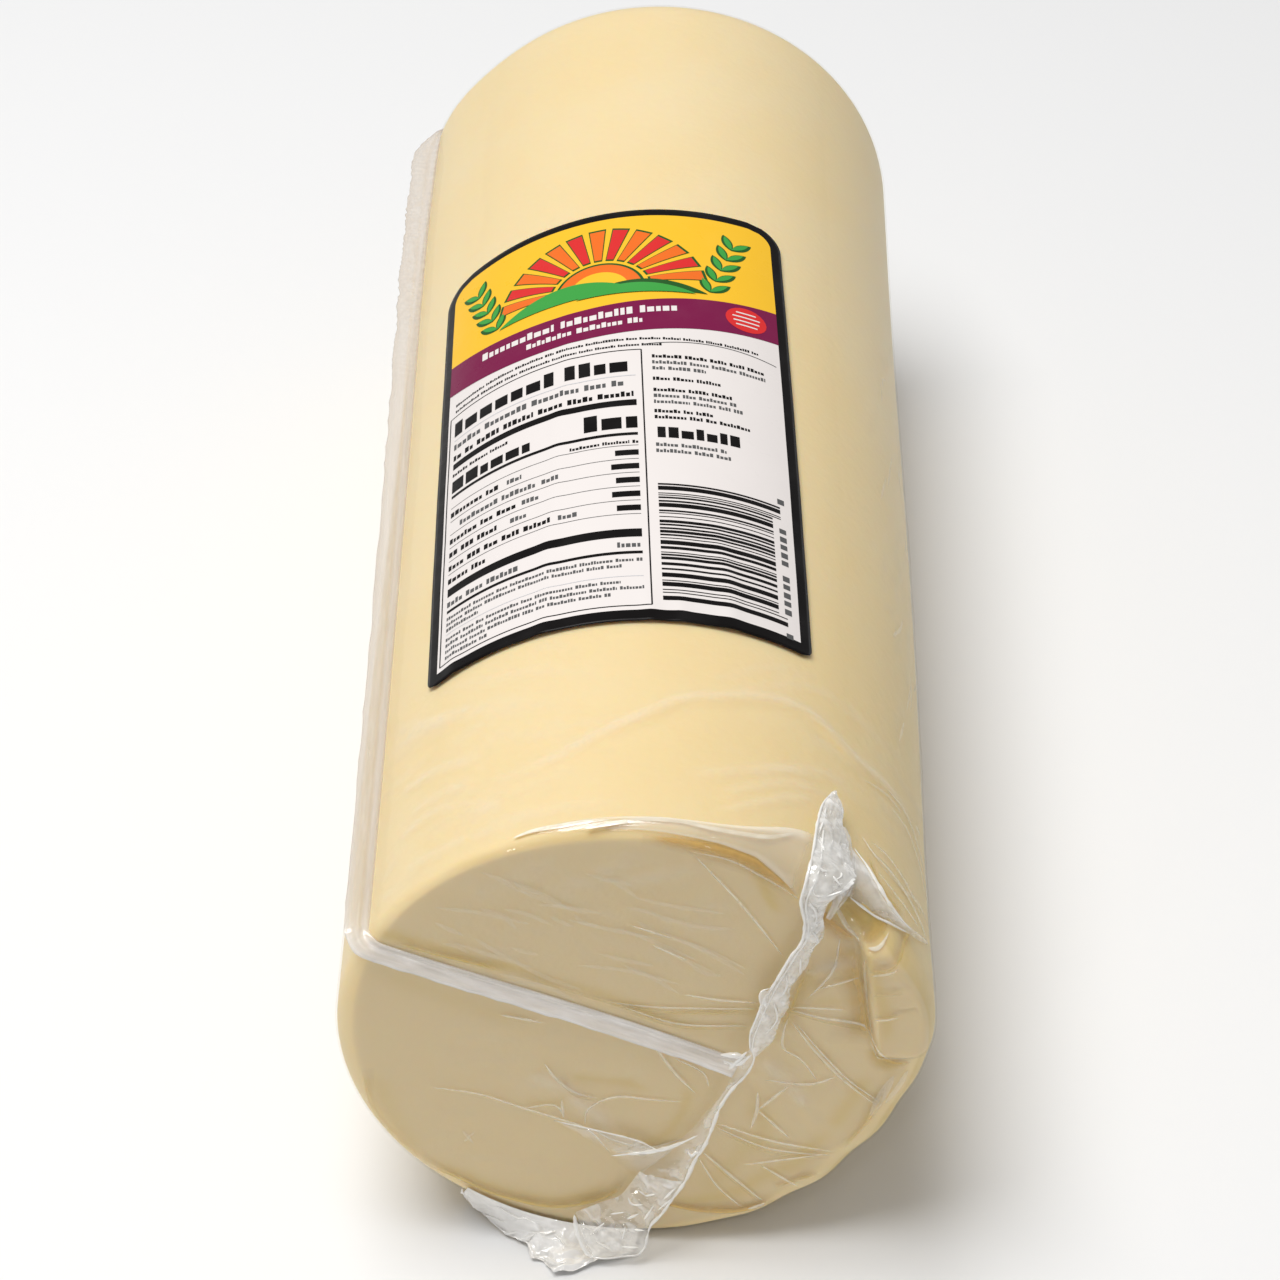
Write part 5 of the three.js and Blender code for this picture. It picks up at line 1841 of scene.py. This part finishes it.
TABLE = (
    # ink, left and right, then a rule's foot and top, or for words their middle, height, seed, mean length
    # in heights and, in the large ones, boldness
    # the frame round the ruled table
    (Ink.BLACK, -43.275, -42.925, -78.3, 20.5), (Ink.BLACK, 8.625, 8.975, -78.3, 20.5),
    (Ink.BLACK, -43.1, 8.8, 20.325, 20.675), (Ink.BLACK, -43.1, 8.8, -78.475, -78.125),
    # small print, figures and words in the table's head
    (Ink.BLACK, -41.5, 38, 25.2, 1, 41, 6), (Ink.BLACK, -41.5, 14, 22.6, 1, 42, 6),
    (Ink.BLACK, -41.5, -12.5, 14.4, 5.8, 120, 30, 1.25), (Ink.BLACK, -10, 7.2, 14.4, 5.8, 123, 30, 1.25),
    (Ink.PALE, -41.5, 7.2, 9.6, 9.9), (Ink.GREY, -41.5, 5, 6.9, 2.3, 43, 3.4),
    (Ink.BLACK, -41.5, 7.2, 2.2, 2.1, 44, 2.6), (Ink.BLACK, -41.5, 7.2, -2.6, -0.2),
    (Ink.BLACK, -41.5, -25, -5, 1.2, 45, 4), (Ink.BLACK, -41.5, -19, -10, 4.8, 126, 30, 1.25),
    (Ink.BLACK, -5.5, 7.2, -8.5, 6.4, 127, 30, 1.25), (Ink.BLACK, -41.5, 7.2, -14.6, -13.5),
    (Ink.BLACK, -9, 7.2, -17.2, 1.2, 46, 4),
    # five ruled rows, the second one indented
    (Ink.GREY, -41.5, 7.2, -18.75, -18.55), (Ink.BLACK, -41.5, -26.5, -21.5, 1.9, 50, 4),
    (Ink.GREY, -25, -20.5, -21.5, 1.7, 60, 3), (Ink.BLACK, 1.7, 7.2, -22.5, -20.4),
    (Ink.GREY, -41.5, 7.2, -24.05, -23.85), (Ink.GREY, -38.5, -17.5, -26.8, 1.9, 51, 4),
    (Ink.GREY, -16, -11.5, -26.8, 1.7, 61, 3), (Ink.BLACK, 0.7, 7.2, -27.8, -25.7),
    (Ink.GREY, -41.5, 7.2, -29.35, -29.15), (Ink.BLACK, -41.5, -22.5, -32.1, 1.9, 52, 4),
    (Ink.GREY, -21, -16.5, -32.1, 1.7, 62, 3), (Ink.BLACK, 1.7, 7.2, -33.1, -31),
    (Ink.GREY, -41.5, 7.2, -34.65, -34.45), (Ink.BLACK, -41.5, -25.5, -37.4, 1.9, 53, 4),
    (Ink.GREY, -24, -19.5, -37.4, 1.7, 63, 3), (Ink.BLACK, 0.7, 7.2, -38.4, -36.3),
    (Ink.GREY, -41.5, 7.2, -39.95, -39.75), (Ink.BLACK, -41.5, -13.5, -42.7, 1.9, 54, 4),
    (Ink.GREY, -12, -7.5, -42.7, 1.7, 64, 3), (Ink.BLACK, 1.7, 7.2, -43.7, -41.6),
    # the table's foot
    (Ink.GREY, -41.5, 7.2, -45.1, -44.9), (Ink.BLACK, -41.5, -30, -47.8, 1.9, 70, 4),
    (Ink.BLACK, -41.5, 7.2, -53.6, -50.6), (Ink.GREY, -41.5, -22, -56.6, 1.9, 71, 4),
    (Ink.GREY, 1.5, 7.2, -56.4, 1.9, 72, 4), (Ink.BLACK, -41.5, 7.2, -59.8, -58.8),
    (Ink.GREY, -41.5, 7.2, -61.9, 1.15, 80, 5), (Ink.GREY, -41.5, 3, -64, 1.15, 81, 5),
    (Ink.GREY, -41.5, -31, -66.1, 1.15, 82, 5), (Ink.PALE, -41.5, 7.2, -67.9, -67.7),
    (Ink.GREY, -41.5, 2, -69.7, 1.15, 90, 5), (Ink.GREY, -41.5, 7.2, -71.9, 1.15, 91, 5),
    (Ink.GREY, -41.5, 0, -74.1, 1.15, 92, 5), (Ink.GREY, -41.5, -28, -76.3, 1.15, 93, 5),
    # the column at the upper right
    (Ink.BLACK, 11.3, 39.5, 17.6, 1.35, 100, 4), (Ink.GREY, 11.3, 41.5, 15.1, 1.35, 101, 4),
    (Ink.GREY, 11.3, 26, 12.6, 1.35, 102, 4), (Ink.BLACK, 11.3, 28.5, 8.2, 1.35, 103, 4),
    (Ink.BLACK, 11.3, 31, 3.6, 1.35, 104, 4), (Ink.GREY, 11.3, 31.5, 1.2, 1.35, 105, 4),
    (Ink.GREY, 11.3, 33, -1.2, 1.35, 106, 4), (Ink.BLACK, 11.3, 26, -5, 1.35, 107, 4),
    (Ink.BLACK, 11.3, 36, -7.4, 1.35, 108, 4), (Ink.GREY, 11.3, 28, -18.4, 1.35, 109, 4),
    (Ink.GREY, 11.3, 29, -20.8, 1.35, 110, 4), (Ink.BLACK, 11.8, 32, -13.5, 4.2, 130, 30, 1.25),
)


@dataclass
class Label:
    """The printed label stuck to the bag, creased where the bag's film shrank under it."""

    width: float = 93.9
    height: float = 166.8
    angle: float = -8.65
    y: float = -24.2
    turn: float = 2.7
    gap: float = 0.4
    wall: float = 0.16
    top_corner: float = 9.0
    foot_corner: float = 2.6
    border: float = 3.0
    foot_border: float = 3.6
    layer: float = 0.05
    creases: tuple[tuple[float, float, float, float, float, float], ...] = (
        # x at the top and the foot, the y where it fades in and out, width and height
        (-7.0, -16.6, 60, -90, 2.2, 0.3),
        (8.2, 8.8, -66, -90, 1.8, 0.3),
        (15.5, 16.2, -70, -90, 1.8, 0.28),
        (24.0, 27.4, -40, -90, 2.6, 0.4),
        (-40, -38, -60, -90, 2.0, 0.25),
    )

    def build(self) -> None:
        """Builds and dresses the stock and its print."""
        stock = bmesh.new()
        add_sheet(stock, 104, 176, self.stock)
        inks = [InkFinish(f"ink_{ink.name.lower()}", ink.value).material() for ink in Ink]
        piece = piece_of("label_stock", stock, [inks[0]], LABEL_NODE)
        thicken(piece, self.wall, 1.0)
        prints = bmesh.new()
        self.add_print(prints)
        piece_of("label_print", prints, inks, LABEL_NODE)

    def carry(self, x: Array, y: Array, off: float) -> Array:
        """Carries points of the flat label to the bag, creased, and off it by a distance."""
        turn = math.radians(self.turn)
        across, along = x * math.cos(turn) - y * math.sin(turn), x * math.sin(turn) + y * math.cos(turn)
        height = 0.0 * x
        for top, foot, start, end, width, rise in self.creases:
            share = np.clip((start - y) / (start - end), 0, 1)
            wander = 0.5 * np.sin(y / 7.0 + top)
            height = height + rise * smooth(share * 2) * bell(x - mix(top, foot, share) - wander, width)
        height = height + 0.05 * np.sin(x / 6.1 + y / 13) * np.sin(y / 9.7)
        angle = math.radians(self.angle) + across / FORM.end_radius
        return FORM.on_side(angle, self.y + along, self.gap + off + height)

    def stock(self, s: Array, t: Array) -> Array:
        """A point of the stock."""
        y = mix(-0.5, 0.5, t) * self.height
        into_top = np.maximum(0, self.top_corner - (self.height / 2 - y))
        into_foot = np.maximum(0, self.foot_corner - (self.height / 2 + y))
        cut = self.top_corner - np.sqrt(self.top_corner**2 - into_top**2)
        cut = cut + self.foot_corner - np.sqrt(self.foot_corner**2 - into_foot**2)
        return self.carry(mix(-0.5, 0.5, s) * (self.width - 2 * cut), y, 0.0)

    def field(self, high: float, layer: int, foot: float | None = None) -> Carry:
        """A field of the print inside the border, from a foot or else the ribbon's middle to its top."""
        half, corner = self.width / 2 - self.border, self.top_corner - self.border

        def carry(s: Array, t: Array) -> Array:
            """A point of the field."""
            flat_x = mix(-1, 1, s) * half
            y = mix(sway(flat_x) if foot is None else foot, high, t)
            into = np.clip(corner - (self.height / 2 - self.border - y), 0, corner)
            cut = corner - np.sqrt(corner**2 - into**2)
            return self.carry(flat_x * (1 - cut / half), y, self.wall + layer * self.layer)

        return carry

    def add(
        self, bm: BMesh, ink: Ink, shape: Shape, layer: int = 2, cells: tuple[int, int] | None = None
    ) -> None:
        """Adds a shape of one ink to the print.

        Args:
            bm: The print's mesh.
            ink: The ink.
            shape: Carries shares to the flat label.
            layer: How many layers of ink lie under it, and its own.
            cells: Its grid, worked out from its size if left out.
        """
        if cells is None:
            ends = np.array([0.0, 1.0, 0.5, 0.5]), np.array([0.5, 0.5, 0.0, 1.0])
            x, y = shape(*ends)
            cells = tuple(max(1, math.ceil(np.hypot(x[i + 1] - x[i], y[i + 1] - y[i]) / 1.2)) for i in (0, 2))

        def carry(s: Array, t: Array) -> Array:
            """A point of it, on the bag."""
            return self.carry(*shape(s, t), self.wall + layer * self.layer)

        add_sheet(bm, *cells, carry, ink.slot)

    def add_print(self, bm: BMesh) -> None:
        """Adds the whole print."""
        top, foot = self.height / 2 - self.border, -self.height / 2 + self.foot_border
        add_sheet(bm, 84, 156, self.field(top, 1, foot), Ink.WHITE.slot)
        add_sheet(bm, 90, 50, self.field(top, 2), Ink.YELLOW.slot)
        self.add_emblem(bm)
        self.add(bm, Ink.BURGUNDY, on_ribbon(-6.6, 6.4, self.width / 2 - self.border), 3, (90, 14))
        self.add_words(bm, Ink.WHITE, -33, 22, 36.9, 3.0, 5, layer=4, bent=True)
        self.add_words(bm, Ink.WHITE, -20, 10, 32.4, 2.2, 7, layer=4, bent=True)
        self.add(bm, Ink.RED, oval(35.5, 38.2, 5.4, 5.0), 4, (24, 6))
        for k, reach in enumerate((2.6, 3.6, 3.4, 2.8)):
            self.add(bm, Ink.WHITE, block(35.5 - reach, 35.5 + reach, 40.6 - 1.7 * k, 41.1 - 1.7 * k), 5)
        for ink, left, right, *rest in TABLE:
            if len(rest) == 2:
                self.add(bm, ink, block(left, right, *rest))
            else:
                self.add_words(bm, ink, left, right, *rest)
        self.add(bm, Ink.GREY, band(9.2, 42.8, 22.5, 22.8, -1.5), 2, (30, 1))
        self.add_stripes(bm)

    def add_emblem(self, bm: BMesh) -> None:
        """Adds a rising sun between two sprays of leaves, over low hills."""
        centre, ground = -1.0, 48.5
        for k in range(13):
            middle = 12 + 13 * k
            ink = Ink.ORANGE if k % 2 == 0 else Ink.RED
            self.add(bm, Ink.LEAF, ray(centre, ground, 12.6, 27.4, middle, 4.6), 3, (3, 14))
            self.add(bm, ink, ray(centre, ground, 13.2, 26.6, middle, 3.9), 4, (3, 14))
        self.add(bm, Ink.LEAF, oval(centre, ground, 11.6, 11.6, 0, 180), 3, (30, 8))
        self.add(bm, Ink.ORANGE, oval(centre, ground, 10.8, 10.8, 0, 180), 4, (30, 8))
        self.add(bm, Ink.YELLOW, oval(centre, ground, 7.4, 7.4, 0, 180), 5, (30, 6))
        self.add(bm, Ink.GREEN, hill(centre - 8, ground - 2.6, 19, 6.8), 7, (34, 4))
        self.add(bm, Ink.LEAF, hill(centre + 11, ground - 2.6, 16, 5.2), 6, (30, 4))
        self.add(bm, Ink.GREEN, hill(centre + 9, ground - 3.2, 15, 4.2), 8, (30, 4))
        for side in (-1, 1):
            for k in range(5):
                foot_x, foot_y = centre + side * (27.5 + 1.6 * k), 47 + 5.2 * k
                for lean in (-34, 34):
                    turn = 90 - side * 18 + lean
                    self.add(bm, Ink.LEAF, leaf(foot_x, foot_y, 7.0, 2.8, turn), 3, (8, 2))
                    self.add(bm, Ink.GREEN, leaf(foot_x, foot_y + 0.4, 6.0, 1.7, turn), 4, (8, 2))

    def add_words(
        self, bm: BMesh, ink: Ink, left: float, right: float, y: float, height: float, seed: int,
        mean: float = 5.0, bold: float = 1.0, layer: int = 2, bent: bool = False,
    ) -> None:
        """Adds a line of small blocks that stand for words.

        Args:
            bm: The print's mesh.
            ink: Their ink.
            left: Where the line starts.
            right: Where it ends.
            y: The blocks' middle.
            height: The height of the tallest.
            seed: Seeds their widths.
            mean: The mean length of a word in heights.
            bold: How wide the blocks are, as a share of a plain line's.
            layer: Their layer.
            bent: Whether the line bends like the ribbon instead of running level.
        """
        rng = np.random.default_rng(seed)
        x, base = left, y - height / 2
        while x < right - height:
            end = min(right, x + height * mean * rng.uniform(0.35, 1.6))
            top = 1.0
            while x < end - 0.2 * height:
                wide = min(height * bold * rng.uniform(0.34, 0.62), end - x)
                self.add(bm, ink, letter(x, wide, base, height * top, bent), layer)
                x += wide + height * 0.16
                top = rng.choice([0.72, 0.72, 1.0])
            x += height * 0.45

    def add_stripes(self, bm: BMesh) -> None:
        """Adds the block of stripes at the lower right, and the small bars beside it."""
        rng = np.random.default_rng(12)
        y, left, right = -33.5, 11.3, 38.6
        k = 0
        while y > -75.5:
            thick = float(rng.choice([0.32, 0.32, 0.62, 0.62, 1.0, 1.5]))
            reach = 2.2 if k < 4 or y < -72.5 else 0.0
            self.add(bm, Ink.BLACK, block(left, right + reach, y - thick, y))
            y -= thick + float(rng.choice([0.42, 0.7, 1.05]))
            k += 1
        bars = (-30.5, -41.5, -44.4, -47.3, -50.2, -53.1, -58.6, -61.5, -64.4, -67.3, -70.2, -78.6)
        for n, y in enumerate(bars):
            self.add(bm, Ink.GREY, block(40.2, 42.0, y - 1.9 + 0.2 * (n % 2), y))


# ---- The studio -----------------------------------------------------------------------------


@dataclass
class Studio:
    """Camera, pale floor and soft light."""

    focal: float = 99.853
    sensor: float = 36.0
    place: Point = (12.555, -720.746, 644.057)
    turn: float = 1.186
    rise: float = 40.1083
    roll: float = 0.2284
    floor_drop: float = 0.25

    def build(self) -> None:
        """Builds all of it, camera first."""
        self.build_camera()
        self.build_floor()
        self.build_light()
        bpy.context.scene.view_settings.view_transform = "Standard"

    def build_camera(self) -> None:
        """The camera, at the height and turn from which the log is seen."""
        turn, rise, roll = (math.radians(a) for a in (self.turn, self.rise, self.roll))
        back = Vector((math.sin(turn) * math.cos(rise), -math.cos(turn) * math.cos(rise), math.sin(rise)))
        right = (-back).cross(Vector((0, 0, 1))).normalized()
        up = right.cross(-back)
        sideways = math.cos(roll) * right + math.sin(roll) * up
        upwards = math.cos(roll) * up - math.sin(roll) * right
        data = bpy.data.cameras.new("camera")
        data.lens, data.sensor_width = self.focal, self.sensor
        camera = bpy.data.objects.new("camera", data)
        pose = Matrix((sideways, upwards, back)).transposed().to_4x4()
        pose.translation = Vector(self.place) * MM
        camera.matrix_world = pose
        bpy.context.scene.collection.objects.link(camera)
        bpy.context.scene.camera = camera

    def build_floor(self) -> None:
        """The floor, a hair below the log."""
        bm = bmesh.new()
        bmesh.ops.create_grid(bm, x_segments=1, y_segments=1, size=4.0)
        bmesh.ops.translate(bm, verts=bm.verts, vec=(0, 0, -self.floor_drop * MM))
        mesh = bpy.data.meshes.new("floor")
        bm.to_mesh(mesh)
        bm.free()
        n = Nodes("floor")
        paper = n.tint(n.noise(3, 2), (0.855, 0.855, 0.855), (0.87, 0.87, 0.87))
        mesh.materials.append(n.finish(n.add("ShaderNodeBsdfDiffuse", {"Color": paper}).outputs[0]))
        floor = bpy.data.objects.new("floor", mesh)
        bpy.context.scene.collection.objects.link(floor)

    def build_light(self) -> None:
        """A bright tent, and a large soft light above, behind and to the left."""
        world = bpy.data.worlds.new("tent")
        world.use_nodes = True
        world.node_tree.nodes["Background"].inputs["Color"].default_value = (1, 1, 1, 1)
        world.node_tree.nodes["Background"].inputs["Strength"].default_value = 0.335
        bpy.context.scene.world = world
        self.add_light("key", (-0.42, -0.18, 1.82), (0, 0, 0), 1.0, 29.5)
        self.add_light("front_left", (-0.9, -1.7, 0.75), (0, -0.17, 0.06), 0.12, 0.7)
        self.add_light("front_right", (0.55, -1.9, 0.35), (0, -0.17, 0.06), 0.1, 0.4)
        self.add_light("rim_gleam", (-0.1, -1.3, 1.6), (0, -0.17, 0.1), 0.16, 0.9)

    def add_light(self, name: str, place: Point, target: Point, size: float, power: float) -> None:
        """Adds a square soft light.

        Args:
            name: Its name.
            place: Where it stands, in metres.
            target: What it points at.
            size: Its side in metres.
            power: Its power in watts.
        """
        data = bpy.data.lights.new(name, "AREA")
        data.size, data.energy = size, power
        lamp = bpy.data.objects.new(name, data)
        lamp.location = place
        lamp.rotation_euler = (Vector(target) - Vector(place)).to_track_quat("-Z", "Y").to_euler()
        bpy.context.scene.collection.objects.link(lamp)


def main() -> None:
    """Builds the scene in order."""
    logging.basicConfig(level=logging.INFO, format="%(name)s %(message)s")
    Studio().build()
    CheeseLog(CheeseFinish()).build()
    skin = FilmFinish()
    pleats = FilmFinish("film_pleat", milk=(0.95, 0.89, 0.75), body=0.02, hazed=0.55, mirror=0.07)
    # ochre damp and painted shade over the cheese, with its darker shade colour in the hollows
    damp_and_shade = FilmFinish(
        "film_damp_and_shade", milk=(0.70, 0.505, 0.16), shade_colour=(0.68, 0.42, 0.13), hazed=0.9, patchy=0.25, mirror=0.03
    )
    ShrinkFilm(skin, pleats, damp_and_shade).build()
    # the weld's darker shade colour paints its standing part on the side as in shade
    weld = FilmFinish(
        "film_weld", milk=(1.0, 0.96, 0.92), shade_colour=(0.755, 0.69, 0.625), body=0.27, hazed=0.78, mirror=0.06,
        glow=0.1, streaky=True,
    )
    # white beads: the film's rolled edges, and painted highlight glints along folds
    bead = FilmFinish(
        "film_bead_and_glint", milk=(0.96, 0.945, 0.91), body=0.6, hazed=0.25, mirror=0.14, roughness=0.06
    )
    band = FilmFinish(
        "film_band", milk=(1.0, 0.985, 0.955), body=0.08, hazed=0.84, mirror=0.17, roughness=0.05,
        crinkle=0.5, glow=0.05, fading=True,
    )
    web = FilmFinish("film_web", body=0.0, hazed=0.55, mirror=0.16, roughness=0.05, fading=True)
    tail = FilmFinish(
        "film_tail", milk=(1.0, 0.985, 0.96), body=0.68, hazed=0.5, mirror=0.16, roughness=0.05, crinkle=0.3
    )
    tent = FilmFinish("film_tent", milk=(0.96, 0.89, 0.75), body=0.05, hazed=0.6, patchy=0.0, mirror=0.06)
    LongWeld(weld).build()
    EndSeal(band, bead, web).build()
    RimTent(tent).build()
    Tail(tail, bead).build()
    FarSeal(band).build()
    Label().build()


if __name__ == "__main__":
    main()
